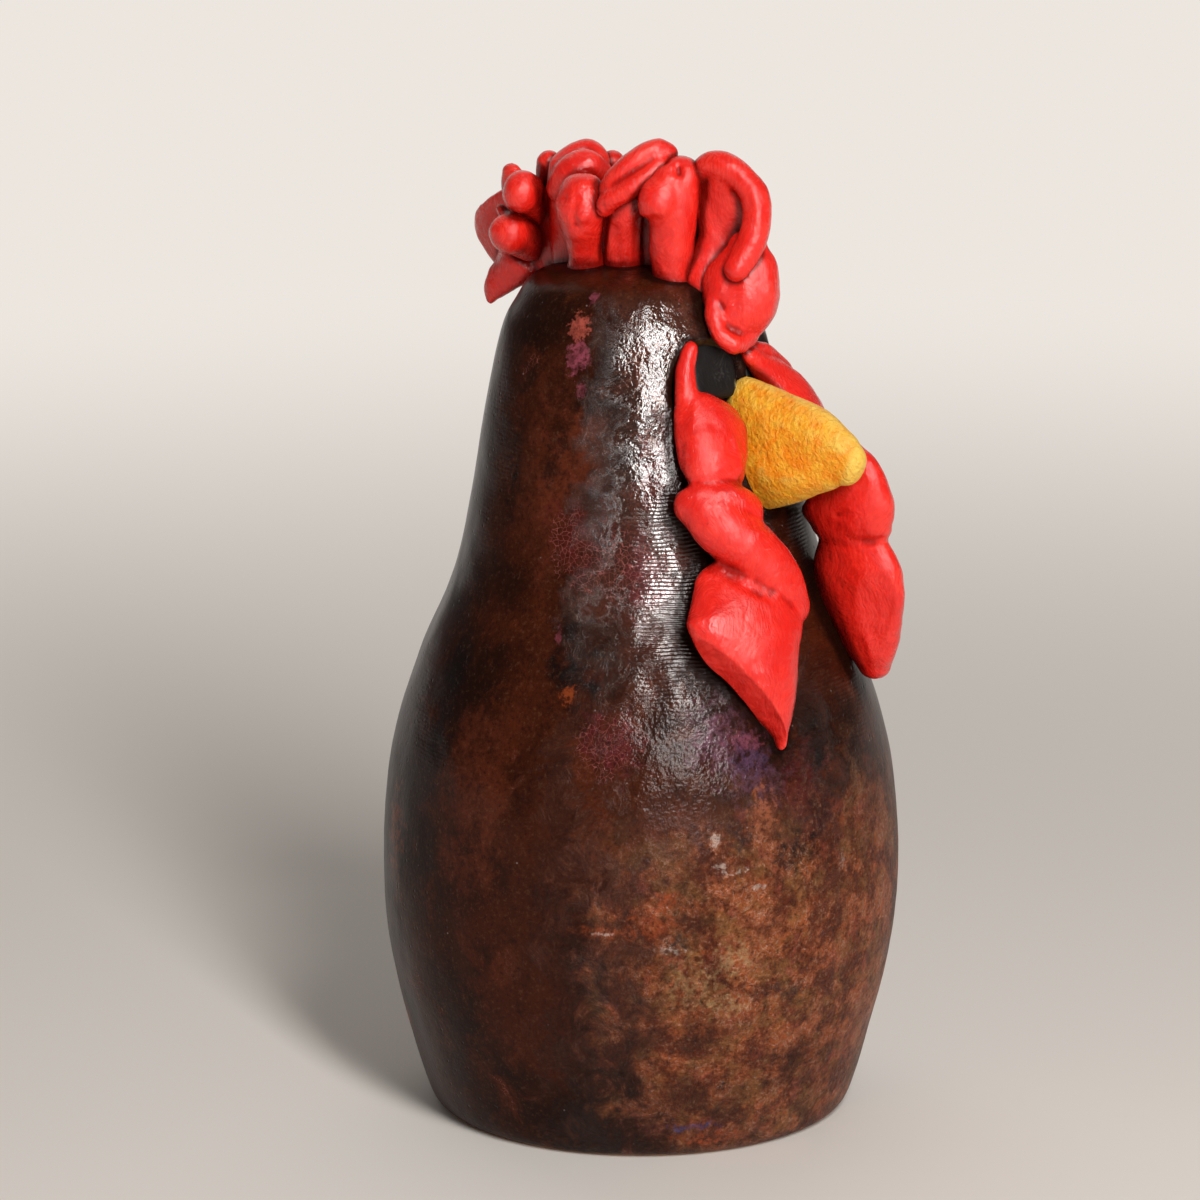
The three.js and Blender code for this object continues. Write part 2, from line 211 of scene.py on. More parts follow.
def socket_frame(mirror):
    """The matrix that takes a unit ball to the ellipsoid of one hollow."""
    middle = on_skin(SOCKET_ANGLE * mirror, SOCKET_DROP, SOCKET_HALVES.y - SOCKET_DEPTH)
    turned = Matrix.Rotation(-math.radians(SOCKET_ANGLE * mirror), 4, "Z")
    leaned = Matrix.Rotation(math.radians(EYE_LEAN), 4, "X")
    return Matrix.Translation(middle) @ turned @ leaned @ Matrix.Diagonal(SOCKET_HALVES.to_4d())


def press_socket(bm, mirror):
    ball = socket_frame(mirror)
    to_ball = ball.inverted()
    for vert in bm.verts:
        place = to_ball @ vert.co
        if place.length > 1.6:
            continue
        if place.length < 1:
            place.y = math.sqrt(max(1 - place.x ** 2 - place.z ** 2, 0))
            vert.co = ball @ place
        lip = math.exp(-((place.length - 1.03) ** 2) / (2 * LIP_WIDTH ** 2)) if place.y < 0.2 else 0
        vert.co += vert.co.normalized() * lip * LIP_HEIGHT


for vert in skin.verts:
    spot = vert.co.copy()
    out = Vector((spot.x, spot.y, 0)).normalized()
    uneven = 0.35 * noise.noise(spot / 46) + 0.14 * noise.noise(spot / 13) + 0.05 * noise.noise(spot / 4)
    vert.co += out * uneven * ease(spot.z, 0, 4)
    vert.co.y += set_back(spot.z)
for vert in inner.verts:
    vert.co.y += set_back(vert.co.z)
press_socket(skin, 1)
press_socket(skin, -1)
around_eyes = [vert for vert in skin.verts if vert.co.y < -10 and vert.co.z > BODY_HEIGHT - 40]
bmesh.ops.smooth_vert(skin, verts=around_eyes, factor=0.5, use_axis_x=True, use_axis_y=True, use_axis_z=True)
print("smoothed", len(around_eyes), "vertices round the eyes")

# %% Join the two walls and cut the vent
bmesh.ops.reverse_faces(inner, faces=inner.faces)
wall_mesh = bpy.data.meshes.new("inner_wall")
inner.to_mesh(wall_mesh)
inner.free()
skin.from_mesh(wall_mesh)
bpy.data.meshes.remove(wall_mesh)


def holding(bm, name):
    """An object that holds a mesh while a modifier works on it."""
    mesh = bpy.data.meshes.new(name)
    bm.to_mesh(mesh)
    bm.free()
    held = bpy.data.objects.new(name, mesh)
    bpy.context.scene.collection.objects.link(held)
    return held


def taken_back(held):
    """The mesh of that object after its modifiers, as a bmesh, with the object gone."""
    after = bpy.data.meshes.new_from_object(held.evaluated_get(bpy.context.evaluated_depsgraph_get()))
    bm = bmesh.new()
    bm.from_mesh(after)
    for mesh in (after, held.data):
        bpy.data.meshes.remove(mesh)
    return bm


drill = bmesh.new()
bmesh.ops.create_cone(
    drill, cap_ends=True, segments=24, radius1=VENT_RADIUS, radius2=VENT_RADIUS, depth=FLOOR * 3,
    matrix=Matrix.Translation((0, VENT_BACK, 0)),
)
body_held = holding(skin, "body_held")
drill_held = holding(drill, "drill_held")
cut = body_held.modifiers.new("vent", "BOOLEAN")
cut.operation = "DIFFERENCE"
cut.object = drill_held
body_bm = taken_back(body_held)
bpy.data.meshes.remove(drill_held.data)
body = finish_piece("body_shell", body_bm)

# %% [markdown]
# ## Clay that is rolled and pressed
# The comb, the wattles and the beak are rolls of clay, squeezed flat here and fat there. A roll is
# made by extruding a ring of edges from station to station: each station says where the roll is, how
# wide and thick it is, and which way its thin side faces. Where several rolls make one piece, a
# voxel remesh melts them together as wet clay does. After that the piece is worked like clay: it is
# smoothed, pressed with fingertips, creased, and left a little uneven.

# %% Extrude a roll through its stations
ROLL_SIDES = 24
STEPS_PER_STATION = 7
CAP_ANGLES = (75, 55, 35, 15)


def ring_frame(place, tangent, thin_side, wide, thick):
    broad = tangent.cross(thin_side).normalized()
    thin = broad.cross(tangent)
    columns = (broad * wide / 2, thin * thick / 2, tangent, place)
    return Matrix([[*row] for row in zip(*columns)]).to_4x4()


def roll_frames(stations):
    """A matrix for each ring of a roll, with its rounded ends."""
    line = through([(*s["at"], *s["thin"], s["wide"], s["thick"]) for s in stations], STEPS_PER_STATION)
    frames = []
    for number, here in enumerate(line):
        ahead = line[min(number + 1, len(line) - 1)]
        behind = line[max(number - 1, 0)]
        tangent = (Vector(ahead[:3]) - Vector(behind[:3])).normalized()
        frames.append((Vector(here[:3]), tangent, Vector(here[3:6]), here[6], here[7]))
    start, end = frames[0], frames[-1]
    rings = []
    for angle in CAP_ANGLES:
        rings.append(cap_ring(start, -1, math.radians(angle)))
    rings += [ring_frame(*values) for values in frames]
    for angle in reversed(CAP_ANGLES):
        rings.append(cap_ring(end, 1, math.radians(angle)))
    return rings


def cap_ring(values, way, angle):
    place, tangent, thin_side, wide, thick = values
    beyond = tangent * way * math.sin(angle) * min(wide, thick) / 2
    return ring_frame(place + beyond, tangent, thin_side, wide * math.cos(angle), thick * math.cos(angle))


def lay_roll(bm, stations):
    rings = roll_frames(stations)
    made = bmesh.ops.create_circle(bm, segments=ROLL_SIDES, radius=1, matrix=rings[0])
    verts = made["verts"]
    edges = list({edge for vert in verts for edge in vert.link_edges})
    bmesh.ops.contextual_create(bm, geom=edges)
    for before, after in zip(rings, rings[1:]):
        grown = bmesh.ops.extrude_edge_only(bm, edges=edges)["geom"]
        verts = [part for part in grown if isinstance(part, bmesh.types.BMVert)]
        edges = [part for part in grown if isinstance(part, bmesh.types.BMEdge)]
        bmesh.ops.transform(bm, matrix=after @ before.inverted(), verts=verts)
    bmesh.ops.contextual_create(bm, geom=edges)


def comb_station(forward, side, rise, wide, thick, turn=90, lift=0):
    return {"at": on_comb(forward, side, rise), "thin": facing(turn, lift), "wide": wide, "thick": thick}


def skin_station(angle, drop, off, wide, thick, turn=0):
    return {"at": on_skin(angle, drop, off), "thin": facing(angle + turn), "wide": wide, "thick": thick}


print("a roll has", ROLL_SIDES, "sides and", STEPS_PER_STATION, "rings for each station")

# %% [markdown]
# ### Fingertips and creases
# A mark is a line of points on the clay, how far its effect reaches, and how deep it goes. A mark
# with a negative depth raises the clay. Each vertex near the line moves along its own normal, most at
# the line itself. A single point makes a dimple or a small bump, and a line makes a crease or a
# ridge. Kneading is smooth noise along the normals at three scales.

# %% Work a piece as clay is worked
VOXEL = 0.45
KNEAD = ((7, 0.3), (3, 0.16), (1.4, 0.05))


def distance_to_line(place, line):
    if len(line) == 1:
        return (place - line[0]).length
    nearest = 1e9
    for start, end in zip(line, line[1:]):
        along = end - start
        share = min(max((place - start).dot(along) / along.length_squared, 0), 1)
        nearest = min(nearest, (place - start - along * share).length)
    return nearest


def press(bm, line, reach, depth):
    """Presses a crease or a dimple into the clay, or raises it where depth is negative."""
    low = Vector([min(point[axis] for point in line) - reach for axis in range(3)])
    high = Vector([max(point[axis] for point in line) + reach for axis in range(3)])
    bm.normal_update()
    moves = []
    for vert in bm.verts:
        place = vert.co
        if all(low[axis] < place[axis] < high[axis] for axis in range(3)):
            distance = distance_to_line(place, line)
            if distance < reach:
                moves.append((vert, vert.normal * depth * (1 - (distance / reach) ** 2) ** 2))
    for vert, move in moves:
        vert.co -= move


def smoothed(bm, times, factor=0.5):
    for _ in range(times):
        bmesh.ops.smooth_vert(
            bm, verts=bm.verts, factor=factor, use_axis_x=True, use_axis_y=True, use_axis_z=True
        )


def kneaded(bm, seed, strength=1):
    bm.normal_update()
    shift = Vector((seed * 7.3, seed * 3.1, seed * 5.7))
    for size, depth in KNEAD:
        moves = [vert.normal * noise.noise(vert.co / size + shift) * depth * strength for vert in bm.verts]
        for vert, move in zip(bm.verts, moves):
            vert.co += move


def mark_hollows(bm, rounds=18, gain=2.2):
    """Stores how far each vertex lies below the smoothed surface, which the paints use for scuffs, for painted shade in
    the folds and for a painted highlight on raised parts.
    """
    layer = bm.verts.layers.float.new("hollow")
    bm.normal_update()
    before = [(vert.co.copy(), vert.normal.copy()) for vert in bm.verts]
    smoothed(bm, rounds)
    for vert, (place, normal) in zip(bm.verts, before):
        vert[layer] = min(max(0.5 + (vert.co - place).dot(normal) * gain, 0), 1)
        vert.co = place


def shave(bm, corners, reach=18):
    """Cuts the clay flat outside the plane through three points, as a potter's wire does."""
    first, second, third = corners
    middle = (first + second + third) / 3
    across = (second - first).cross(third - first).normalized()
    whole = sum((vert.co for vert in bm.verts), Vector()) / len(bm.verts)
    if (whole - first).dot(across) > 0:
        across.negate()
    for vert in bm.verts:
        beyond = (vert.co - first).dot(across)
        if beyond > 0:
            vert.co -= across * beyond * ease(reach - (vert.co - middle).length, 0, 4)


def clay_piece(name, rolls, marks, seed, melt=6, knead=1, facets=()):
    bm = bmesh.new()
    for stations in rolls:
        lay_roll(bm, stations)
    bmesh.ops.recalc_face_normals(bm, faces=bm.faces)
    held = holding(bm, name + "_held")
    remesh = held.modifiers.new("melt", "REMESH")
    remesh.mode = "VOXEL"
    remesh.voxel_size = VOXEL
    bm = taken_back(held)
    smoothed(bm, melt)
    for corners in facets:
        shave(bm, corners)
    for line, reach, depth in marks:
        press(bm, line, reach, depth)
    kneaded(bm, seed, knead)
    smoothed(bm, 2)
    mark_hollows(bm)
    bmesh.ops.recalc_face_normals(bm, faces=bm.faces)
    return finish_piece(name, bm)


# %% [markdown]
# ## The eyes
# Each eye is a flat pat of clay laid in its hollow and painted matt black. A cube with its upright
# edges bevelled wide and then all its edges bevelled narrow has the right soft corners, and a voxel
# remesh gives it enough faces to be kneaded uneven. The left eye sits lower than the right one.

# %% Lay the two eye pats
EYE_ANGLE = 15
EYE_DROP = 21
EYE_WIDE = 12
EYE_TALL = 12.6
EYE_THICK = 4.4
EYE_SUNK = 1.4
LEFT_EYE_LOWER = 3
ALL_BEVEL = {"affect": "EDGES", "profile": 0.5, "material": -1, "offset_type": "OFFSET"}


def eye_pat(name, mirror, lower, seed):
    bm = bmesh.new()
    bmesh.ops.create_cube(bm, size=1)
    bmesh.ops.scale(bm, vec=(EYE_WIDE, EYE_TALL, EYE_THICK), verts=bm.verts)
    corners = [edge for edge in bm.edges if abs(edge.verts[0].co.z - edge.verts[1].co.z) > 1]
    bmesh.ops.bevel(bm, geom=corners, offset=2.4, segments=5, **ALL_BEVEL)
    rims = [edge for edge in bm.edges if edge.calc_face_angle(0) > 1]
    bmesh.ops.bevel(bm, geom=rims, offset=0.9, segments=3, **ALL_BEVEL)
    held = holding(bm, name + "_held")
    remesh = held.modifiers.new("even", "REMESH")
    remesh.mode = "VOXEL"
    remesh.voxel_size = VOXEL
    bm = taken_back(held)
    smoothed(bm, 3)
    outward = facing(EYE_ANGLE * mirror, EYE_LEAN)
    across = Vector((0, 0, 1)).cross(outward).normalized()
    place = on_skin(EYE_ANGLE * mirror, EYE_DROP + lower, -EYE_SUNK) - outward * EYE_THICK / 2
    frame_rows = zip(across, outward.cross(across), outward, place)
    bmesh.ops.transform(bm, matrix=Matrix([[*row] for row in frame_rows]).to_4x4(), verts=bm.verts)
    kneaded(bm, seed, 0.7)
    mark_hollows(bm)
    return finish_piece(name, bm)


right_eye = eye_pat("right_eye", 1, 0, 1)
left_eye = eye_pat("left_eye", -1, LEFT_EYE_LOWER, 2)

# %% [markdown]
# ## The beak
# The beak is one short thick roll, flattened from side to side so that it stands on edge. It is
# tallest at its root and blunt at its tip. Long shallow presses along each flank leave a rounded
# ridge on top, which catches the light.

# %% Model the beak
BEAK_DROP = 38
beak_roll = []
for out, lower, tall, thick in (
    (-3, 0.5, 31, 12.5), (6, 0, 26.5, 13), (15, -0.4, 20.6, 11.5), (21.6, 0.4, 14.6, 9.4), (24.8, 1.4, 10, 7)
):
    at = on_skin(0, BEAK_DROP, out)
    at.z -= lower
    beak_roll.append({"at": at, "thin": facing(90), "wide": tall, "thick": thick})
flank = [on_comb(36, 6, -36), on_comb(46, 6, -38), on_comb(53, 5, -40)]
other_flank = [Vector((-point.x, point.y, point.z)) for point in flank]
beak_marks = [(flank, 7, 0.8), (other_flank, 7, 0.8)]
beak = clay_piece("beak", [beak_roll], beak_marks, seed=3, knead=0.9)

# %% [markdown]
# ## The comb
# No two pieces of the comb are alike. They were rolled, pinched and folded by hand, and then
# stood on the crown from front to back. Each piece is a list of rolls, and each roll a list of
# stations: forward, to the right side, up from the crown, wide, thick, and where it matters the
# way that the thin side faces. The marks after them are the folds and fingertips.

# %% Model the fingers of the comb
thick_finger = [
    [
        (12.2, 4, -5, 11, 12), (12.3, 4.6, -1, 9, 9.5), (12.6, 5.4, 4.2, 10, 10), (13.1, 5.6, 10.5, 11, 10.5),
        (13.4, 5.6, 15.9, 11.8, 10.5), (14.2, 5, 19.4, 10.8, 9.5), (14.6, 4.6, 20.9, 9.8, 8.8),
    ],
    [(12.9, 7, 12.6, 8.6, 8.4, 38), (12.1, 9, 15.6, 10.8, 10, 38), (12.8, 7.4, 19.2, 8.8, 8.6, 38)],
]
thick_finger_marks = [
    ([on_comb(16.2, 8, 23.4), on_comb(16.8, 8.2, 22)], 1.5, 0.8),
    ([on_comb(14.4, 8.6, 23.6)], 1.8, -0.5),
    ([on_comb(7.6, 10, 11.2), on_comb(10.6, 12.4, 10.8), on_comb(13.4, 12.6, 11.6)], 2.2, 0.7),
    ([on_comb(11.6, 12.8, 18)], 1.6, -0.4),
    ([on_comb(9, 12.2, 14)], 1.4, 0.4),
]
knobbed_finger = [
    [(-8.6, 8.4, -4, 11, 11), (-8, 9.8, 0.4, 8.2, 8.4), (-7.2, 11.4, 4.4, 7.6, 7.8), (-6.6, 12.8, 9, 10, 9.6)],
    [(-6.5, 13.4, 9.6, 10.4, 10), (-6.3, 13.8, 12.6, 12, 11.4), (-6.2, 13.4, 15.6, 10.8, 10.4)],
    [(-5.2, 13, 16.6, 5, 5), (-4.4, 12.4, 18.4, 3.8, 3.8)],
]
knobbed_finger_marks = [
    ([on_comb(-4, 18.6, 15), on_comb(-4.6, 19, 12), on_comb(-4.4, 18.4, 9.6)], 1.4, 0.5),
    ([on_comb(-2.4, 17.6, 11.4)], 2, -0.4),
    ([on_comb(-7, 18.4, 15.4)], 1.3, 0.5),
    ([on_comb(-6.6, 18.8, 11.4), on_comb(-6, 18.6, 13.6)], 1.2, 0.4),
]
folded_finger = [
    [(-1.8, 4.4, -4, 11, 10), (-1.2, 5.2, 0, 8.6, 8.4), (0, 6.8, 7, 8, 8), (2, 8, 13.8, 8.6, 7.4), (5, 5.6, 19.4, 9, 7)],
    [(4, -1.6, -4, 13, 8, 40), (4, -1.4, 6, 12, 6, 40), (4.6, -0.6, 15, 11, 6, 40), (6, 0, 20, 9, 6, 40)],
    [
        (0.2, 12.6, 17, 5, 5, 60, 30), (2.4, 12.2, 20, 5.4, 5.6, 60, 30), (5.8, 9.8, 23.6, 5.8, 6, 60, 30),
        (8.6, 6.6, 26, 5.6, 6, 60, 30), (10.6, 4.6, 25.2, 5, 5, 60, 30),
    ],
    [
        (0.6, 14.2, 13.8, 4.8, 5, 60, 30), (2.7, 14, 16, 5.2, 5.4, 60, 30), (6.2, 12, 18.4, 5.6, 5.8, 60, 30),
        (8.8, 9.4, 21, 5.4, 5.6, 60, 30), (10.6, 7, 23.4, 4.8, 5, 60, 30),
    ],
]
folded_finger_marks = [
    ([on_comb(-0.4, 15.6, 14), on_comb(0.4, 16.4, 12)], 1, 0.7),
    ([on_comb(2.2, 17, 14), on_comb(2.4, 16.4, 12.4)], 1, 0.6),
    ([on_comb(3.6, 15.6, 17.4)], 1, 0.4),
    ([on_comb(3.5, 16.3, 19.3), on_comb(6.5, 14, 21.3), on_comb(9.2, 11.8, 23.6), on_comb(11.7, 9.9, 25.8)], 2, 0.5),
    ([on_comb(1, 12, 8.4), on_comb(0.6, 10.4, 2)], 2.2, 0.5),
]


def stood(rolls):
    """Rolls on the comb, from their written stations."""
    return [[comb_station(*station) for station in roll] for roll in rolls]


for name, rolls, marks, seed in (
    ("comb_thick_finger", thick_finger, thick_finger_marks, 4),
    ("comb_knobbed_finger", knobbed_finger, knobbed_finger_marks, 5),
    ("comb_folded_finger", folded_finger, folded_finger_marks, 6),
):
    clay_piece(name, stood(rolls), marks, seed)

# %% [markdown]
# The front flap is a thin sheet with a thick rolled rim that bends forward over it in an S. The sheet
# is pressed hollow behind the rim. The lobe below it runs down over the forehead and ends beside the
# near eye, with the end of a small roll showing under it.

# %% Model the front flap and its lobe
front_flap = [
    [
        (17.6, 2, 21.6, 4.6, 5.4), (21.2, 1.6, 24, 5.6, 6), (26.4, 0.2, 22, 6.4, 6.4), (30.4, -0.8, 17.6, 6.4, 6.6),
        (31.8, -0.4, 13.2, 6.4, 6.6), (31.8, 0.9, 8.6, 6.6, 6.6), (30.9, 3, 4.4, 6.6, 6.4), (30, 4.8, 1.6, 6, 6),
    ],
    [
        (23.6, 0, 21.6, 9.4, 5.6, 62), (24.2, -1.2, 17.6, 13.6, 5.6, 68), (24, -2.4, 12.6, 14, 5.4, 70),
        (23, -2.6, 8, 13.4, 5, 66), (21.4, -1.4, 3, 13, 5, 55), (21.4, 0.8, -3, 14, 6, 50),
        (22.2, 1, -8, 12, 6, 50),
    ],
    [
        (19.2, 0, 22.2, 5, 5), (19.4, -0.6, 16, 7, 5, 66), (19.4, -1, 8.2, 7, 5, 66), (18.6, 0, 2.3, 6, 5, 60),
        (17.8, 2.8, -1.4, 6, 5, 60),
    ],
    [(14.8, -4, -4, 8, 5, 40), (14.8, -4, 8, 8, 5, 40), (15.6, -3.4, 19, 8, 5, 40), (17, -2.4, 21.6, 7, 5, 40)],
]
front_flap_marks = [
    ([on_comb(22.4, 2.2, 22.7), on_comb(23.8, 0.2, 20)], 4, -0.5),
    ([on_comb(25.4, -1.4, 16.6), on_comb(26, -2, 13), on_comb(25, -1.6, 8.6)], 5, 0.7),
    ([on_comb(27.4, 5, 2), on_comb(24.6, 5.6, -1)], 2.4, 0.8),
    ([on_comb(20.4, 3.4, 26.8)], 1.2, -0.5),
    ([on_comb(32.6, 2.6, 18.6), on_comb(34.4, 2.6, 14)], 1.6, -0.3),
    ([on_comb(31.4, 5, 10.6), on_comb(29.8, 6.4, 6.4)], 1.6, 0.3),
]
front_lobe = [
    [
        (28.6, -1, 6, 9, 7, 60), (28.4, -0.8, 1.5, 15, 10.4, 60), (28, 0.4, -3.6, 17.5, 12, 58),
        (28.2, 1.2, -8.6, 15.6, 11.6, 52), (28, 2.4, -12.6, 11, 9, 42),
    ],
    [
        (25, 5.6, -5, 4.6, 4.6, 40), (26, 7.4, -9.4, 4.6, 4.6, 40), (27.7, 7.4, -12.6, 4.8, 4.8, 40),
        (30.3, 5.8, -15, 4.8, 4.6, 20),
    ],
    [(29, 4, -12.6, 5.4, 5, 0), (30, 3.6, -15, 5.4, 5, 0)],
]
front_lobe_marks = [
    ([on_comb(30, 8, -10.8), on_comb(32.4, 5, -12.2), on_comb(33.4, 1.6, -12.6)], 1.6, 0.3),
    ([on_comb(26.6, 8.6, -3), on_comb(28.4, 8, -6.6)], 1.6, 0.6),
    ([on_comb(33.6, -0.6, 3), on_comb(35, -0.8, -3), on_comb(34.2, 0, -9)], 2.2, -0.4),
    ([on_comb(29, 6, -1), on_comb(30.6, 5.4, -6)], 3, 0.4),
]
for name, rolls, marks, seed, melt in (
    ("comb_front_flap", front_flap, front_flap_marks, 7, 10),
    ("comb_front_lobe", front_lobe, front_lobe_marks, 8, 5),
):
    clay_piece(name, stood(rolls), marks, seed, melt=melt)

# %% [markdown]
# The rear half of the comb leans back over the nape. A curl folds over itself at the top and leaves
# a small hollow, two knobs stand beside it, and the broad flap behind ends in ragged points. Two
# thick balls stick out of the flap towards the bird's right side.

# %% Model the rear of the comb
top_curl = [
    [(-17, 1, -3, 13, 11), (-18, 2, 8, 12, 10), (-17, 3, 15, 13, 11), (-16, 2, 18.6, 12, 9)],
    [
        (-18.8, 6.6, 15.6, 5, 5), (-19, 4.8, 19.8, 5.6, 5.4), (-17.6, 1.6, 22.4, 5.6, 5.6), (-15.4, -0.6, 23, 5.6, 5.4),
        (-12.8, -0.6, 21.6, 5.2, 5), (-11.6, 0.8, 19.2, 4.6, 4.6),
    ],
    [(-18, 7.6, 15.4, 5.6, 5.4), (-15, 7, 18.6, 8, 7), (-12.2, 5, 20.6, 8.4, 7), (-10.4, 2.2, 19, 6.4, 6)],
]
top_curl_marks = [
    ([on_comb(-16.6, 4.2, 21.4), on_comb(-13.6, 3.4, 21.6)], 2, 1.4),
    ([on_comb(-18, 10.4, 12.6), on_comb(-12.6, 9.6, 13.6)], 1.8, 0.6),
]
top_knob = [[(-23, -5, -5, 9, 9), (-25.6, -3, 9, 7.5, 7.5), (-25.4, 0.6, 17.4, 7, 7), (-25, 1.8, 19.8, 6, 6)]]
small_knob = [[(-10, -3, -4, 14, 13), (-11.5, -6, 8, 10, 10), (-12.4, -6, 17.6, 7, 7), (-12, -4.6, 20.4, 6, 6)]]
rear_flap = [
    [
        (-19, -1, -4, 17, 9, 90, -10), (-30, -1.5, 1.5, 27, 8, 90, -20), (-40.4, -2, 0, 22, 6, 90, -24),
        (-45, -2.5, -1.5, 15, 4.4, 90, -24),
    ],
    [(-33, -2, 8, 14, 6.6), (-37.6, -2, 13.4, 9, 4.8), (-38.6, -1.4, 16.6, 5, 3.4)],
    [(-35, 1, -3, 13, 6), (-40.6, 2, -10.5, 6, 4.2), (-41.6, 2.4, -13, 2.6, 2.4)],
    [(-44, -2.4, 1, 6, 4), (-48.4, -2.6, 1.4, 2.6, 2.6)],
]
rear_flap_marks = [
    ([on_comb(-38, 2, 6), on_comb(-40, 2, -3)], 4, 1),
    ([on_comb(-46.6, 0, -5), on_comb(-43, 1, -8)], 1.6, 0.5),
    ([on_comb(-34, 2, 13), on_comb(-36.4, 2, 11)], 2, 0.7),
]
upper_ball = [[(-28, 2, 9, 9, 9, 0), (-26.8, 7, 12.6, 9.4, 8.6, 0), (-25.6, 11, 14.4, 9.8, 8.4, 0)]]
upper_ball_marks = [
    ([on_comb(-28, 14, 9.6), on_comb(-24, 14.6, 10)], 1.6, 0.6),
    ([on_comb(-24.4, 14.6, 17)], 1.2, 0.3),
]
lower_ball = [
    [(-30, 2, 1.4, 9, 9, 0), (-29.6, 7, 3.4, 9.4, 9, 0), (-28.8, 11.4, 4.8, 9.6, 9.2, 0)],
    [(-31, 9, 7.6, 3.2, 3.2, 0), (-32.4, 10, 9.6, 2.6, 2.6, 0)],
]
for name, rolls, marks, seed in (
    ("comb_top_curl", top_curl, top_curl_marks, 9),
    ("comb_top_knob", top_knob, [], 10),
    ("comb_small_knob", small_knob, [], 11),
    ("comb_rear_flap", rear_flap, rear_flap_marks, 12),
    ("comb_rear_upper_knob", upper_ball, upper_ball_marks, 13),
    ("comb_rear_lower_knob", lower_ball, [], 14),
):
    clay_piece(name, stood(rolls), marks, seed, melt=4)

# %% [markdown]
# ## The wattles
# Each wattle starts as a thin roll beside its eye and swells into lobes that were folded over one
# another. Their stations are said on the skin: angle round from the beak, drop below the crown, and
# how far they stand off. The right wattle lies on the throat. The left one loops round its eye from
# both sides and then hangs clear of the throat, edge on to the viewer.

# %% Model the wattles
right_wattle = [
    [
        (27.5, 15.4, 0.4, 3.6, 3.8, 10), (31, 19.4, 0.6, 4.2, 4.4, 5), (32, 24, 1, 5.2, 5), (32.4, 29, 1.4, 6.4, 6),
        (32.4, 34, 2.2, 7, 7), (32.4, 39, 2.8, 7, 7),
    ],
    [(20, 28.6, 1.4, 14.4, 5), (21.6, 30.4, 2.2, 16.4, 7.4), (25, 36, 3.8, 16, 9.4), (26.6, 41.4, 4.4, 14.4, 9.4)],
    [
        (35, 47.4, 4.4, 9.5, 8), (30, 50, 6, 13, 10.5), (24.5, 54.6, 7.2, 13.4, 11.5), (18, 59.6, 8, 12.4, 11.4),
        (13.4, 65.6, 8, 11.4, 10.4), (11, 71, 7.4, 9.5, 9),
    ],
    [(32, 46.6, 4.8, 9, 9), (25.6, 47.4, 6.4, 10.4, 9.6), (20, 49.8, 7, 9, 9)],
    [
        (26.4, 63, 4, 16, 7), (24.4, 69.5, 6, 28.5, 11), (24, 76, 6.4, 26.4, 11.6), (22.4, 83, 5.6, 18.6, 10.6),
        (21.2, 89.7, 4.2, 12.4, 8.4), (20.2, 96, 2.6, 7.4, 5.8), (19.2, 99.8, 1.4, 3.8, 3.6),
    ],
    [(14, 67, 7, 9, 8, -5), (14.6, 75, 6.4, 8, 8), (16.2, 84, 4.8, 7, 7), (17.8, 93, 2.8, 5, 5)],
]
right_wattle_marks = [
    ([on_skin(37, 44, 4), on_skin(30, 44.4, 8), on_skin(22, 43.4, 9), on_skin(17, 42.6, 8)], 2.2, 0.6),
    ([on_skin(22, 52, 12), on_skin(16.6, 53.2, 11)], 1.8, 0.5),
    ([on_skin(35, 59.4, 5), on_skin(30, 60.8, 8), on_skin(25, 64.2, 11), on_skin(20, 66.6, 11.6)], 2.6, 0.6),
    ([on_skin(32, 60.4, 8.6), on_skin(26, 64, 11.6), on_skin(22, 66.4, 11.8)], 1.9, 0.4),
    ([on_skin(21, 34, 8), on_skin(20, 40, 8.6)], 1.8, -0.4),
    ([on_skin(27, 31, 6.8)], 3, 0.4),
]
right_wattle_facets = [(on_skin(33.6, 78.3, 9.5), on_skin(21.5, 92.3, 6.5), on_skin(27.6, 89.7, 1))]
left_wattle = [
    [
        (-3, 18, 0.5, 4.4, 4), (-8, 21, 1, 6, 5), (-14, 24, 2, 9, 6), (-18.6, 28, 4, 12, 7), (-21, 33, 6, 15, 8),
        (-20, 39, 8.6, 18, 9, 15), (-17.4, 44, 11.4, 22, 10, 45), (-15.4, 48.6, 13, 25, 11.5, 66),
        (-15.4, 53, 13, 25.5, 12, 70), (-16, 56.6, 12.6, 22, 11, 70),
    ],
    [(-9, 17.6, 0.4, 4, 4), (-17, 19.4, 0.8, 4.6, 4.6), (-25, 23, 1.6, 5, 5), (-27, 29, 3, 8, 6), (-24, 35, 5, 11, 7)],
    [
        (-16.6, 60.6, 11.6, 19, 9, 70), (-17, 65.6, 11, 23.5, 10.5, 70), (-17.4, 71.5, 10, 24, 10.5, 70),
        (-18.4, 78, 8.2, 19.6, 10, 70), (-19.6, 84.5, 6.2, 14, 8.5, 70), (-20.6, 89.4, 4.6, 8, 6.4, 70),
    ],
]
left_wattle_marks = [
    ([on_skin(-12, 58.6, 24), on_skin(-9, 59.4, 16), on_skin(-7, 58.6, 8)], 2.2, 1),
    ([on_skin(-9, 70, 12), on_skin(-12, 80, 9), on_skin(-15, 88, 6)], 2, -0.4),
    ([on_skin(-10, 52, 18), on_skin(-8, 53, 13)], 2, 0.5),
]
left_wattle_facets = [(on_skin(-9, 62, 14), on_skin(-15, 86, 8), on_skin(-10, 72, 5))]


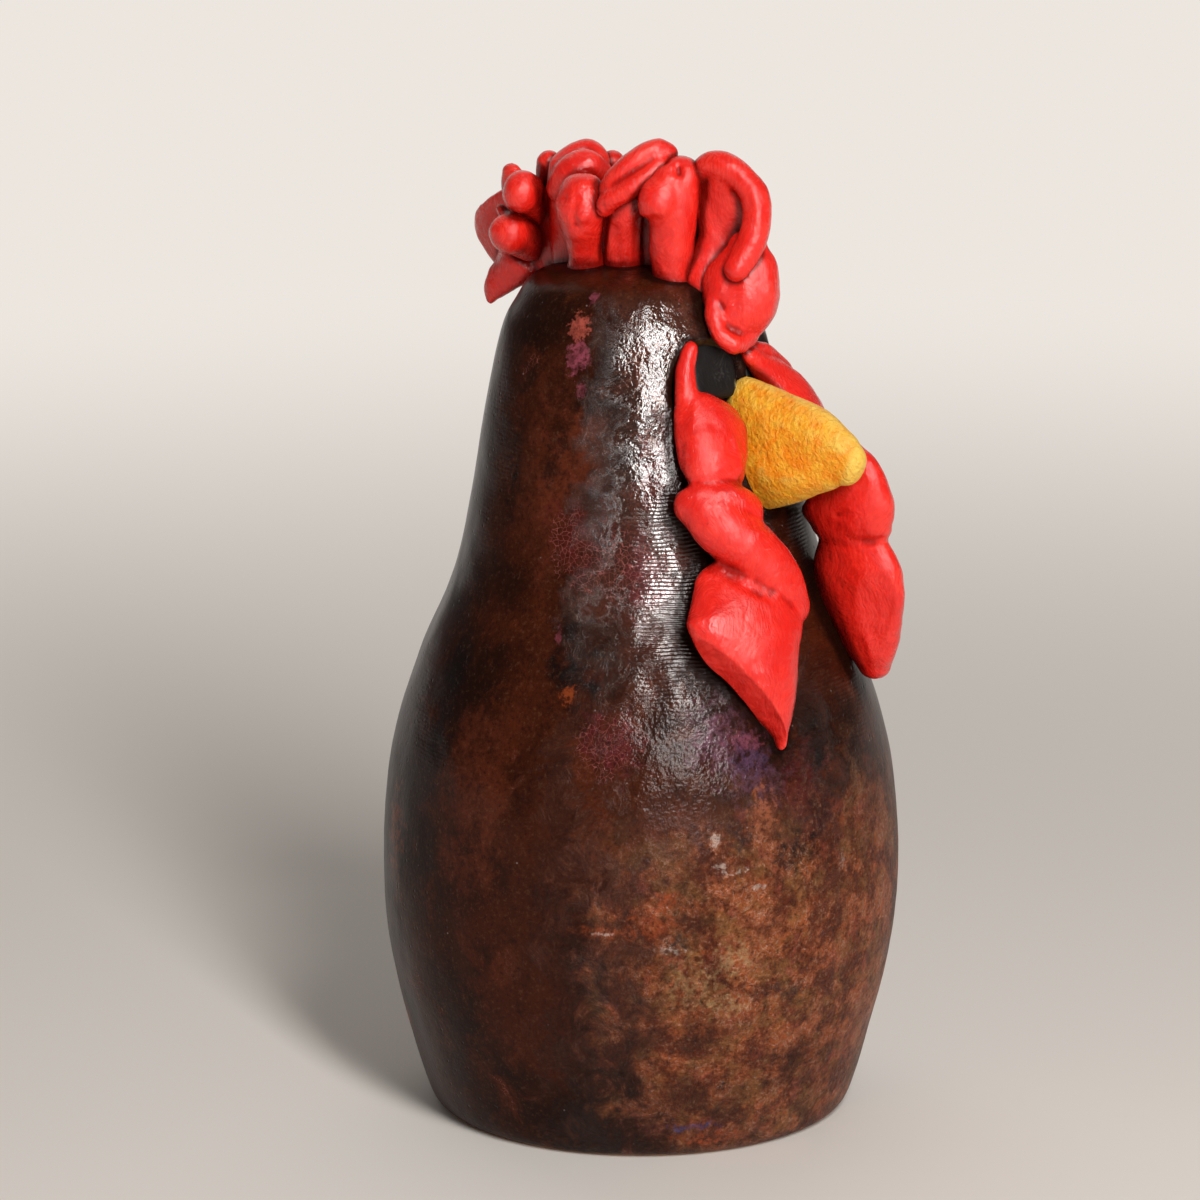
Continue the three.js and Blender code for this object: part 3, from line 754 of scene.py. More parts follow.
def hung(rolls):
    """Rolls of a wattle, from their written stations. The left side has negative angles."""
    made = []
    for roll in rolls:
        made.append([])
        for angle, drop, off, wide, thick, *turn in roll:
            side = 1 if angle > 0 else -1
            made[-1].append(skin_station(angle, drop, off, wide, thick, side * sum(turn)))
    return made


for name, rolls, marks, facets, seed in (
    ("right_wattle", right_wattle, right_wattle_marks, right_wattle_facets, 15),
    ("left_wattle", left_wattle, left_wattle_marks, left_wattle_facets, 16),
):
    clay_piece(name, hung(rolls), marks, seed, melt=5, facets=facets)

# %% [markdown]
# ### Gaps for painted shade
# The paint and the glaze are darkened later in the gaps between the rolls and beside the pieces, as
# painted shade. To find those places, a step is taken straight out from each point of the clay. In the
# open, the nearest clay is then as far off as the step is long, and in a gap it is nearer. How much
# nearer, over a few steps, is the "closed" value that the paint and the glaze use later for that shade.

# %% Measure how closed in each place is
STEPS_OUT = (1.2 * MM, 3 * MM, 6.5 * MM)
all_places = []
all_faces = []
for piece in pieces.values():
    first = len(all_places)
    all_places += [vert.co.copy() for vert in piece.data.vertices]
    all_faces += [[first + corner for corner in face.vertices] for face in piece.data.polygons]
all_clay = BVHTree.FromPolygons(all_places, all_faces)


def closed_in(vert):
    """0 where the clay is open all round, and near 1 deep in a gap."""
    nearer = 0
    for step in STEPS_OUT:
        distance = all_clay.find_nearest(vert.co + vert.normal * step, step)[3]
        nearer += 0 if distance is None else 1 - distance / step
    return nearer / len(STEPS_OUT)


for name, piece in pieces.items():
    values = [closed_in(vert) for vert in piece.data.vertices]
    piece.data.attributes.new("closed", "FLOAT", "POINT").data.foreach_set("value", values)
    print(name, "has", sum(value > 0.4 for value in values), "vertices deep in gaps")

# %% [markdown]
# ## Building materials from nodes
# Glaze and paint have no picture behind them here: they are made of noise, distances and masks.
# Three small helpers keep the node trees readable. One adds a node and fills its sockets, one makes
# a group with named sockets, and one lays a colour over another through a mask.

# %% Make helpers for node trees
FLOAT = "NodeSocketFloat"
VECTOR = "NodeSocketVector"


def add(tree, kind, inputs=None, **settings):
    """Adds a shader node. An input is a plain value or another node's output."""
    made = tree.nodes.new("ShaderNode" + kind)
    for name, value in settings.items():
        setattr(made, name, value)
    for key, value in (inputs or {}).items():
        if isinstance(value, bpy.types.NodeSocket):
            tree.links.new(value, made.inputs[key])
        else:
            made.inputs[key].default_value = value
    return made


def sum_of(tree, kind, *values, clamp=False):
    """The output of a Math node."""
    return add(tree, "Math", dict(enumerate(values)), operation=kind, use_clamp=clamp).outputs[0]


def over(tree, mask, below, above):
    """Lays one colour over another through a mask."""
    mixed = add(tree, "Mix", {0: mask, 6: below, 7: above}, data_type="RGBA")
    return mixed.outputs[2]


def remapped(tree, value, low, high, to_low=0, to_high=1):
    values = {0: value, 1: low, 2: high, 3: to_low, 4: to_high}
    return add(tree, "MapRange", values, interpolation_type="SMOOTHSTEP").outputs[0]


def new_group(name, inputs, outputs):
    tree = bpy.data.node_groups.new(name, "ShaderNodeTree")
    for title, kind, value in inputs:
        tree.interface.new_socket(title, in_out="INPUT", socket_type=kind).default_value = value
    for title in outputs:
        tree.interface.new_socket(title, in_out="OUTPUT", socket_type=FLOAT)
    return tree, tree.nodes.new("NodeGroupInput").outputs, tree.nodes.new("NodeGroupOutput").inputs


def use(tree, group, output=0, **inputs):
    """Places a group and returns one of its outputs."""
    placed = tree.nodes.new("ShaderNodeGroup")
    placed.node_tree = group
    for name, value in inputs.items():
        socket = placed.inputs[name.capitalize()]
        if isinstance(value, bpy.types.NodeSocket):
            tree.links.new(value, socket)
        else:
            socket.default_value = value
    return placed.outputs[output]


def new_material(name):
    material = bpy.data.materials.new(name)
    material.use_nodes = True
    tree = material.node_tree
    shader = tree.nodes["Principled BSDF"]
    place = tree.nodes.new("ShaderNodeTexCoord").outputs["Object"]
    return material, tree, shader, place


# %% [markdown]
# ### Patches
# In a smoky kiln the flame paints the glaze in patches with ragged edges. A patch is an ellipsoid
# round a point of the skin, and noise added to the distance makes its edge ragged. The same group
# serves for a hand-sized cloud of smoke and for a flake of bare copper.

# %% Build the patch group
patch, values, results = new_group(
    "ragged_patch",
    [("Place", VECTOR, (0, 0, 0)), ("Centre", VECTOR, (0, 0, 0)), ("Size", VECTOR, (1, 1, 1)),
     ("Ragged", FLOAT, 0.6), ("Grain", FLOAT, 200), ("Soft", FLOAT, 0.4)],
    ["Mask"],
)
offset = add(patch, "VectorMath", {0: values["Place"], 1: values["Centre"]}, operation="SUBTRACT")
scaled = add(patch, "VectorMath", {0: offset.outputs[0], 1: values["Size"]}, operation="DIVIDE")
reach = add(patch, "VectorMath", {0: scaled.outputs[0]}, operation="LENGTH").outputs["Value"]
rough_edge = add(
    patch, "TexNoise", {"Vector": values["Place"], "Scale": values["Grain"], "Detail": 7.0, "Roughness": 0.65}
)
shift = sum_of(patch, "SUBTRACT", rough_edge.outputs[0], 0.5)
shift = sum_of(patch, "MULTIPLY", shift, values["Ragged"])
reach = sum_of(patch, "ADD", reach, sum_of(patch, "MULTIPLY", shift, 4.0))
start = sum_of(patch, "SUBTRACT", 1.0, values["Soft"])
patch.links.new(remapped(patch, reach, 1.0, start), results["Mask"])

# %% [markdown]
# ### Crackle and specks
# Crackle is the net of fine lines where the glaze shrank: the edges of Voronoi cells, bent by noise.
# Specks are small dots, kept only where a second noise allows them.

# %% Build the groups for crackle and specks
crackle, values, results = new_group(
    "crackle", [("Place", VECTOR, (0, 0, 0)), ("Scale", FLOAT, 500), ("Width", FLOAT, 0.05)], ["Lines"]
)
bend = add(crackle, "TexNoise", {"Vector": values["Place"], "Scale": 350.0, "Detail": 3.0})
bend = add(crackle, "VectorMath", {0: bend.outputs["Color"], "Scale": 0.0022}, operation="SCALE")
bent = add(crackle, "VectorMath", {0: values["Place"], 1: bend.outputs[0]}, operation="ADD")
cells = add(
    crackle, "TexVoronoi", {"Vector": bent.outputs[0], "Scale": values["Scale"]}, feature="DISTANCE_TO_EDGE"
)
crackle.links.new(remapped(crackle, cells.outputs[0], values["Width"], 0.0), results["Lines"])

specks, values, results = new_group(
    "specks", [("Place", VECTOR, (0, 0, 0)), ("Scale", FLOAT, 400), ("Size", FLOAT, 0.2), ("Few", FLOAT, 0.6)],
    ["Dots"],
)
cells = add(specks, "TexVoronoi", {"Vector": values["Place"], "Scale": values["Scale"]})
dots = remapped(specks, cells.outputs["Distance"], values["Size"], 0.0)
chance = add(specks, "SeparateColor", {0: cells.outputs["Color"]}).outputs[0]
kept = sum_of(specks, "GREATER_THAN", chance, values["Few"])
specks.links.new(sum_of(specks, "MULTIPLY", dots, kept), results["Dots"])

# %% [markdown]
# ### Brush marks
# Paint on clay keeps the tracks of the brush: fine streaks that follow the stroke, and dabs where it
# was lifted. Stretched noise makes the streaks, and a slow noise bends them, so no two lobes are
# brushed alike. The group gives a height for the bump and a tone for the colour.

# %% Build the brush group
brush, values, results = new_group(
    "brush_marks",
    [("Place", VECTOR, (0, 0, 0)), ("Streak", VECTOR, (1500, 1500, 300)), ("Dab", FLOAT, 500)],
    ["Height", "Tone"],
)
slow = add(brush, "TexNoise", {"Vector": values["Place"], "Scale": 90.0, "Detail": 1.0})
slow = add(brush, "VectorMath", {0: slow.outputs["Color"], "Scale": 0.012}, operation="SCALE")
bent = add(brush, "VectorMath", {0: values["Place"], 1: slow.outputs[0]}, operation="ADD")
streaked = add(brush, "VectorMath", {0: bent.outputs[0], 1: values["Streak"]}, operation="MULTIPLY")
streaks = add(brush, "TexNoise", {"Vector": streaked.outputs[0], "Scale": 1.0, "Detail": 4.0}).outputs[0]
dabs = add(brush, "TexNoise", {"Vector": values["Place"], "Scale": values["Dab"], "Detail": 3.0}).outputs[0]
brush.links.new(sum_of(brush, "ADD", sum_of(brush, "MULTIPLY", streaks, 0.6), dabs), results["Height"])
tone = add(brush, "TexNoise", {"Vector": bent.outputs[0], "Scale": 160.0, "Detail": 6.0}).outputs[0]
brush.links.new(sum_of(brush, "MULTIPLY", sum_of(brush, "ADD", tone, streaks), 0.5), results["Tone"])

# %% [markdown]
# ## Red paint
# The comb and wattles wear a bright red paint, half glossy, laid on with a small brush. It is
# thin on the ridges, where pink scuffs show, and the folds are darkened as painted shade, as are the
# gaps between pieces, from the "closed" value. The "hollow" value that was stored on each clay mesh
# tells folds from ridges.

# %% Mix the red paint
red_paint, tree, shader, place = new_material("red_paint")
height = use(tree, brush, 0, place=place, streak=(1500, 1500, 420), dab=420.0)
tone = use(tree, brush, 1, place=place)
hollow = add(tree, "Attribute", attribute_name="hollow").outputs["Fac"]
colour = over(tree, remapped(tree, tone, 0.35, 0.65), (0.76, 0.012, 0.007, 1), (0.88, 0.024, 0.013, 1))
scuffs = sum_of(tree, "MULTIPLY", remapped(tree, hollow, 0.42, 0.2), remapped(tree, tone, 0.5, 0.62))
colour = over(tree, sum_of(tree, "MULTIPLY", scuffs, 0.25), colour, (0.9, 0.07, 0.045, 1))
# Painted shade: the folds of the clay are darkened towards a deep red.
painted_fold_shade = remapped(tree, hollow, 0.58, 0.95)
colour = over(tree, sum_of(tree, "MULTIPLY", painted_fold_shade, 0.85), colour, (0.28, 0.003, 0.0015, 1))
closed = add(tree, "Attribute", attribute_name="closed").outputs["Fac"]
# Painted shade: the red is darkened almost to black in the gaps between rolls and pieces.
painted_gap_shade = remapped(tree, closed, 0.12, 0.7)
colour = over(tree, sum_of(tree, "MULTIPLY", painted_gap_shade, 0.88), colour, (0.15, 0.003, 0.0015, 1))
dirt = use(tree, specks, 0, place=place, scale=420.0, size=0.14, few=0.93)
colour = over(tree, sum_of(tree, "MULTIPLY", dirt, 0.6), colour, (0.12, 0.01, 0.008, 1))
tree.links.new(colour, shader.inputs["Base Color"])
tree.links.new(remapped(tree, tone, 0.3, 0.7, 0.17, 0.34), shader.inputs["Roughness"])
bump = add(tree, "Bump", {"Strength": 0.7, "Distance": 0.0005, "Height": height})
tree.links.new(bump.outputs[0], shader.inputs["Normal"])
dabs = add(tree, "TexNoise", {"Vector": place, "Scale": 560.0, "Detail": 5.0, "Roughness": 0.65}).outputs[0]
wet = add(tree, "Bump", {"Strength": 0.8, "Distance": 0.0006, "Height": dabs})
tree.links.new(wet.outputs[0], shader.inputs["Coat Normal"])
dull = sum_of(tree, "MAXIMUM", painted_gap_shade, remapped(tree, hollow, 0.55, 0.72))
tree.links.new(remapped(tree, dull, 0.0, 1.0, 0.55, 0.04), shader.inputs["Coat Weight"])
shader.inputs["Coat Roughness"].default_value = 0.08
shader.inputs["Specular IOR Level"].default_value = 0.28

# %% [markdown]
# ## Yellow paint
# The beak's paint is thick and rough, as if it had been stippled. Orange shows through the
# yellow, and the ridge and other raised parts are painted paler, as a painted highlight where the
# rounded edges catch the light. The stipple is a strong bump of wrinkled noise about a millimetre across.

# %% Mix the yellow paint
yellow_paint, tree, shader, place = new_material("yellow_paint")
hollow = add(tree, "Attribute", attribute_name="hollow").outputs["Fac"]
mottle = add(tree, "TexNoise", {"Vector": place, "Scale": 330.0, "Detail": 6.0, "Roughness": 0.65}).outputs[0]
cloud = add(tree, "TexNoise", {"Vector": place, "Scale": 90.0, "Detail": 2.0}).outputs[0]
shade = sum_of(tree, "ADD", sum_of(tree, "MULTIPLY", mottle, 0.6), sum_of(tree, "MULTIPLY", cloud, 0.4))
colour = over(tree, remapped(tree, shade, 0.4, 0.6), (0.99, 0.3, 0.006, 1), (0.99, 0.49, 0.025, 1))
# Painted highlight: the raised parts of the beak are made paler yellow.
colour = over(tree, remapped(tree, hollow, 0.46, 0.2), colour, (0.93, 0.56, 0.08, 1))
wrinkles = add(
    tree, "TexNoise", {"Vector": place, "Scale": 880.0, "Detail": 4.0, "Roughness": 0.6, "Distortion": 0.4}
).outputs[0]
pits = remapped(tree, wrinkles, 0.45, 0.3)
colour = over(tree, sum_of(tree, "MULTIPLY", pits, 0.4), colour, (0.82, 0.19, 0.004, 1))
tree.links.new(colour, shader.inputs["Base Color"])
tree.links.new(remapped(tree, mottle, 0.3, 0.7, 0.36, 0.56), shader.inputs["Roughness"])
bump = add(tree, "Bump", {"Strength": 1.0, "Distance": 0.00075, "Height": wrinkles})
tree.links.new(bump.outputs[0], shader.inputs["Normal"])

# %% [markdown]
# ## Black paint
# The eyes are matt black, brushed downwards, with the odd grey streak where the brush ran dry. A
# narrow pale line runs down the edge of the right eye nearest the beak, where glaze shows.

# %% Mix the black paint
black_paint, tree, shader, place = new_material("black_paint")
height = use(tree, brush, 0, place=place, streak=(1900, 1900, 240), dab=300.0)
tone = use(tree, brush, 1, place=place, streak=(2200, 2200, 260))
colour = over(tree, remapped(tree, tone, 0.55, 0.72), (0.006, 0.005, 0.005, 1), (0.03, 0.027, 0.026, 1))
edge_line = use(
    tree, patch, 0, place=place, centre=on_skin(5.2, 24.5, -0.4) * MM, size=(0.0009, 0.0009, 0.0045),
    ragged=0.5, grain=900.0, soft=0.5,
)
colour = over(tree, sum_of(tree, "MULTIPLY", edge_line, 0.75), colour, (0.3, 0.27, 0.15, 1))
tree.links.new(colour, shader.inputs["Base Color"])
shader.inputs["Roughness"].default_value = 0.5
shader.inputs["Specular IOR Level"].default_value = 0.3
bump = add(tree, "Bump", {"Strength": 0.6, "Distance": 0.0003, "Height": height})
tree.links.new(bump.outputs[0], shader.inputs["Normal"])

# %% [markdown]
# ## The copper glaze
# The body's finish has a dark, glassy brown ground, clouds of black smoke and grey haze, copper lustre that
# grows towards the foot on the beak's side, and burgundy areas with red crackle. First come the marks
# that the fire left, each with its tone, its angle round from the beak, its height above the foot, how far
# it reaches across and up in millimetres, and how strong it is. A tone has a colour, how soft its edge
# is, and how worn it is.

# %% List the marks that the fire left on the glaze
TONES = {
    "smoke": ((0.005, 0.003, 0.003, 1), 0.9, 0.3), "haze": ((0.032, 0.021, 0.019, 1), 0.9, 0.7),
    "burgundy": ((0.09, 0.01, 0.012, 1), 0.8, 0.6), "copper": ((0.32, 0.09, 0.035, 1), 0.7, 0.8),
    "rust": ((0.3, 0.055, 0.014, 1), 0.7, 0.9), "flake": ((0.42, 0.08, 0.055, 1), 0.3, 0.5),
    "mauve": ((0.27, 0.055, 0.085, 1), 0.4, 0.6), "violet": ((0.13, 0.052, 0.08, 1), 0.9, 0.8),
    "gold": ((0.4, 0.26, 0.12, 1), 0.7, 1.0), "pale": ((0.55, 0.42, 0.36, 1), 0.5, 1.0),
    "warm": ((0.125, 0.026, 0.011, 1), 0.9, 0.5), "blue": ((0.05, 0.06, 0.2, 1), 0.7, 0.9),
}
FIRE_MARKS = [
    ("warm", 82, 150, 10, 34, 0.8), ("warm", 70, 158, 8, 12, 0.7), ("warm", 92, 84, 14, 30, 0.5),
    ("smoke", 101, 150, 6, 48, 0.95), ("smoke", 108, 104, 6, 36, 0.9), ("smoke", 132, 52, 12, 24, 0.7),
    ("haze", 115, 104, 3, 34, 0.8), ("smoke", 71, 112, 9, 15, 0.95), ("haze", 61, 112, 8, 17, 0.65),
    ("haze", 58, 155, 6, 12, 0.5), ("smoke", 80, 159, 5, 3, 0.7), ("smoke", 84, 153, 3, 5, 0.7),
    ("smoke", 68, 149, 6, 2.4, 0.6), ("burgundy", 45, 157, 6, 18, 0.8), ("burgundy", 49, 132, 8, 14, 0.9),
    ("burgundy", 59, 97, 9, 9, 0.9), ("burgundy", 72, 139, 10, 12, 0.5), ("burgundy", 12, 84, 10, 16, 0.5),
    ("violet", 33, 97, 10, 11, 0.8), ("violet", 25, 88, 8, 9, 0.6), ("blue", 27, 92, 6, 5, 0.15),
    ("mauve", 26.5, 96.5, 5, 2.2, 0.4), ("flake", 77.6, 184, 2.6, 4.4, 1), ("mauve", 76.6, 177.6, 2.8, 4.6, 1),
    ("mauve", 73.5, 190, 1.2, 3.6, 0.8), ("mauve", 73.5, 170.6, 1.4, 2, 0.6), ("rust", 71, 106.6, 2.6, 2.6, 0.7),
    ("rust", 51, 58, 9, 4.2, 1), ("rust", 46.6, 62.5, 5, 3.4, 0.9), ("rust", 60, 56, 7, 1.8, 0.7),
    ("rust", 34, 4.6, 10, 2.2, 1), ("blue", 38, 8, 7, 1.4, 0.8), ("rust", 124.7, 66, 7, 13, 0.5),
    ("copper", 26, 55, 8, 5, 0.8), ("copper", -18, 26, 14, 12, 0.6), ("copper", 24, 80, 5, 8, 0.8),
    ("smoke", 16, 71, 7, 6, 0.85), ("smoke", 9, 78, 5, 8, 0.6), ("smoke", 7.3, 91, 1.6, 11, 0.9),
    ("smoke", 6.3, 97.2, 2.4, 2, 0.95), ("haze", 45, 53, 5, 3.4, 0.9), ("haze", 30, 76, 4, 5, 0.8),
    ("gold", 31, 48, 7, 5, 0.6), ("gold", 33, 38.5, 6, 4, 0.6), ("gold", 42, 44, 8, 7, 0.4),
    ("pale", 31.6, 68.6, 4.4, 0.7, 0.8), ("pale", 27, 64.4, 3.6, 0.7, 0.7), ("pale", 60.6, 55.4, 3.4, 0.5, 0.7),
    ("pale", 36, 76, 1.2, 2.2, 0.6), ("pale", 34, 70, 2.6, 0.8, 0.6), ("pale", 47, 51.6, 4, 1, 0.6),
    ("pale", 3, 67, 1.2, 2.6, 0.5), ("smoke", 32.4, 18.1, 2, 1.8, 1), ("haze", 20, 40, 9, 4, 0.5),
    ("smoke", 190, 120, 22, 40, 0.8), ("copper", 215, 55, 26, 22, 0.6), ("burgundy", 240, 130, 14, 20, 0.7),
    ("haze", -60, 112, 14, 22, 0.6), ("rust", -75, 60, 12, 7, 0.8), ("smoke", -40, 150, 10, 26, 0.8),
    ("flake", 205, 172, 4, 8, 0.9), ("violet", -95, 92, 13, 12, 0.6), ("rust", 200, 30, 12, 6, 0.7),
    ("warm", 165, 160, 12, 26, 0.8), ("warm", -100, 150, 14, 30, 0.7), ("smoke", -120, 60, 20, 26, 0.7),
    ("warm", 235, 104, 18, 30, 0.8), ("copper", 172, 33, 22, 13, 0.7), ("gold", 168, 36, 9, 5, 0.5),
    ("rust", 150, 92, 10, 9, 0.8), ("burgundy", 186, 92, 15, 15, 0.9), ("haze", 158, 122, 11, 20, 0.7),
    ("mauve", 148, 163, 3.4, 7, 0.8), ("flake", 146, 171, 2.4, 4, 0.9), ("rust", 226, 152, 8, 13, 0.7),
    ("copper", 252, 34, 16, 15, 0.7), ("blue", 184, 68, 7, 4, 0.4), ("pale", 163, 70, 3.6, 0.7, 0.6),
    ("mauve", 76, 118, 0.9, 5.5, 0.5), ("violet", 212, 98, 12, 10, 0.7), ("rust", 138, 22, 12, 5, 0.8), ("smoke", 262, 92, 12, 26, 0.8),
]
print("the glaze has", len(FIRE_MARKS), "fire marks")

# %% [markdown]
# The ground is mixed first and the marks are laid over it one by one. The lustre follows a direction:
# it is strongest on the side that faced the flame, low down. Its tone drifts between copper red, brown and
# olive gold, with a fine metallic grain.

# %% Mix the ground and the lustre
copper_glaze, tree, shader, place = new_material("copper_glaze")
spot = add(tree, "SeparateXYZ", {0: place}).outputs
cloud = add(tree, "TexNoise", {"Vector": place, "Scale": 30.0, "Detail": 6.0, "Roughness": 0.62}).outputs[0]
blotch = add(
    tree, "TexNoise", {"Vector": place, "Scale": 110.0, "Detail": 9.0, "Roughness": 0.7, "Distortion": 0.5}
).outputs[0]
tint = add(tree, "TexNoise", {"Vector": place, "Scale": 130.0, "Detail": 8.0, "Roughness": 0.75}).outputs[1]
tint = add(tree, "SeparateColor", {0: tint}).outputs
fine = add(tree, "TexNoise", {"Vector": place, "Scale": 900.0, "Detail": 7.0, "Roughness": 0.8}).outputs[0]
ground = over(tree, remapped(tree, cloud, 0.4, 0.6), (0.017, 0.004, 0.0018, 1), (0.052, 0.0105, 0.0035, 1))
warmer = sum_of(tree, "MULTIPLY", remapped(tree, blotch, 0.5, 0.68), 0.6)
ground = over(tree, warmer, ground, (0.1, 0.02, 0.006, 1))

LUSTRE_TURN = 8
LIT_SIDE_TURN = 38
THROAT_TURN = 18
LUSTRE_FROM = 0.027
LUSTRE_FULL = 0.06
along = add(tree, "VectorMath", {0: place, 1: facing(LUSTRE_TURN)}, operation="DOT_PRODUCT").outputs["Value"]
wander = sum_of(tree, "MULTIPLY", sum_of(tree, "SUBTRACT", blotch, 0.5), 0.07)
front = remapped(tree, sum_of(tree, "ADD", along, wander), LUSTRE_FROM, LUSTRE_FULL)
low = remapped(tree, sum_of(tree, "ADD", spot[2], wander), 0.092, 0.06)
lustre = sum_of(tree, "MULTIPLY", front, low)
outward = add(tree, "VectorMath", {0: place, 1: (1, 1, 0)}, operation="MULTIPLY").outputs[0]
outward = add(tree, "VectorMath", {0: outward}, operation="NORMALIZE").outputs[0]
to_lit_side = add(tree, "VectorMath", {0: outward, 1: facing(LIT_SIDE_TURN)}, operation="DOT_PRODUCT").outputs["Value"]
to_lit_side = sum_of(tree, "ADD", to_lit_side, sum_of(tree, "MULTIPLY", wander, 8.0))
rugged = remapped(tree, to_lit_side, 0.74, 0.95)
# Painted shade: the side turned away from the lamp is darkened towards a near black brown.
painted_side_shade = sum_of(tree, "MULTIPLY", remapped(tree, to_lit_side, 0.7, 0.1), 0.5)
ground = over(tree, painted_side_shade, ground, (0.011, 0.0028, 0.0014, 1))
copper_tone = over(tree, remapped(tree, tint[0], 0.44, 0.58), (0.13, 0.024, 0.006, 1), (0.4, 0.094, 0.025, 1))
gold = sum_of(tree, "MULTIPLY", remapped(tree, tint[1], 0.47, 0.61), 0.65)
copper_tone = over(tree, gold, copper_tone, (0.3, 0.125, 0.035, 1))
rosy = sum_of(tree, "MULTIPLY", remapped(tree, tint[2], 0.53, 0.65), 0.55)
copper_tone = over(tree, rosy, copper_tone, (0.42, 0.085, 0.05, 1))
ground = over(tree, sum_of(tree, "MULTIPLY", lustre, 0.92), ground, copper_tone)

# %% Lay the fire marks over it
wear = add(tree, "TexNoise", {"Vector": place, "Scale": 480.0, "Detail": 6.0, "Roughness": 0.7}).outputs[0]
for tone, angle, height, across, up, strength in FIRE_MARKS:
    colour, soft, worn = TONES[tone]
    mask = use(
        tree, patch, 0, place=place, centre=on_skin(angle, BODY_HEIGHT - height) * MM,
        size=Vector((across, across, up)) * MM, ragged=0.8, grain=3000.0 / max(across, up), soft=soft,
    )
    kept = remapped(tree, wear, 0.42, 0.56, strength * (1 - worn), strength)
    ground = over(tree, sum_of(tree, "MULTIPLY", mask, kept), ground, colour)

# %% [markdown]
# Over the colours lie the small things: dark and bright grain, painted glints along the tops of the
# puckers, red crackle where the glaze is thick, and pale specks that are partly white specks and partly
# painted glints. Painted shade darkens the glaze in the gaps beside the clay. Metal and roughness follow
# the lustre. A clear coat is the glass on top, and its uneven, pitted surface breaks every highlight
# into sparks. The throwing lines show on the shoulder.

# %% Add grain, crackle and the glassy surface
dark_grain = sum_of(tree, "MULTIPLY", remapped(tree, fine, 0.48, 0.36), 0.7)
ground = over(tree, dark_grain, ground, (0.012, 0.004, 0.003, 1))
bright_grain = sum_of(tree, "MULTIPLY", remapped(tree, fine, 0.53, 0.66), remapped(tree, lustre, 0.0, 1.0, 0.08, 0.5))
ground = over(tree, bright_grain, ground, (0.5, 0.26, 0.15, 1))
puckers = add(
    tree, "TexNoise", {"Vector": place, "Scale": 420.0, "Detail": 5.0, "Roughness": 0.6, "Distortion": 1.2}
).outputs[0]
# Painted glints: thin pale lines along the tops of the puckers, where the lustre is.
painted_glints = sum_of(tree, "ABSOLUTE", sum_of(tree, "SUBTRACT", puckers, 0.5))
painted_glints = sum_of(tree, "MULTIPLY", remapped(tree, painted_glints, 0.022, 0.0), remapped(tree, tint[0], 0.49, 0.6))
painted_glints = sum_of(tree, "MULTIPLY", painted_glints, sum_of(tree, "MULTIPLY", lustre, 0.75))
ground = over(tree, painted_glints, ground, (0.62, 0.4, 0.3, 1))
crackled = use(tree, crackle, 0, place=place, scale=860.0, width=0.055)
zones = remapped(tree, blotch, 0.62, 0.7)
for angle, height, across, up in ((76, 139, 5, 9), (68, 134, 8, 7), (54, 132, 9, 10), (60, 97, 8, 8)):
    zone = use(
        tree, patch, 0, place=place, centre=on_skin(angle, BODY_HEIGHT - height) * MM,
        size=Vector((across, across, up)) * MM, ragged=0.5, grain=300.0, soft=0.3,
    )
    zones = sum_of(tree, "MAXIMUM", zones, zone)
crackled = sum_of(tree, "MULTIPLY", crackled, zones)
broken = remapped(tree, tint[1], 0.35, 0.6, 0.3, 1.0)
ground = over(tree, sum_of(tree, "MULTIPLY", crackled, broken), ground, (0.29, 0.075, 0.068, 1))
# Partly white specks in the glaze and partly painted glints: small pale dots.
specks_and_glints = use(tree, specks, 0, place=place, scale=330.0, size=0.1, few=0.9)
ground = over(tree, sum_of(tree, "MULTIPLY", specks_and_glints, 0.6), ground, (0.45, 0.36, 0.34, 1))
closed = add(tree, "Attribute", attribute_name="closed").outputs["Fac"]
# Painted shade: the glaze is darkened in the gaps beside the comb, wattles and beak, and its coat is thinned there.
painted_gap_shade = remapped(tree, closed, 0.02, 0.36)
ground = over(tree, sum_of(tree, "MULTIPLY", painted_gap_shade, 0.8), ground, (0.005, 0.002, 0.0015, 1))
underneath = remapped(tree, spot[2], 0.0009, 0.0004)
ground = over(tree, underneath, ground, (0.42, 0.24, 0.15, 1))
tree.links.new(ground, shader.inputs["Base Color"])
tree.links.new(remapped(tree, lustre, 0.0, 1.0, 0.12, 0.5), shader.inputs["Metallic"])
crown = remapped(tree, spot[2], 0.186, 0.1925)
roughness = remapped(tree, lustre, 0.0, 1.0, 0.3, 0.42)
tree.links.new(sum_of(tree, "MAXIMUM", roughness, underneath), shader.inputs["Roughness"])
glassy_from = remapped(tree, sum_of(tree, "ADD", spot[2], wander), 0.1, 0.147, 0.2, 1.0)
glass = sum_of(tree, "MULTIPLY", rugged, glassy_from)
glass = remapped(tree, glass, 0.0, 1.0, 0.05, 1.0)
glass = sum_of(tree, "MULTIPLY", glass, remapped(tree, crown, 0.0, 1.0, 1.0, 0.25))
glass = sum_of(tree, "MULTIPLY", glass, remapped(tree, painted_gap_shade, 0.0, 1.0, 1.0, 0.2))
glass = sum_of(tree, "SUBTRACT", glass, underneath, clamp=True)
tree.links.new(glass, shader.inputs["Coat Weight"])
shader.inputs["Coat Roughness"].default_value = 0.05
shader.inputs["Coat IOR"].default_value = 1.8
shader.inputs["Specular IOR Level"].default_value = 0.06

# %% [markdown]
# The relief of the glass is added up from an orange peel, the throwing lines on the throat, puckers
# where the lustre is, and broad dents. The throwing lines are the potter's finger tracks, rings less than a
# millimetre apart that drift as the wheel turns. The glaze under the glass also has pinholes and
# the crackle.

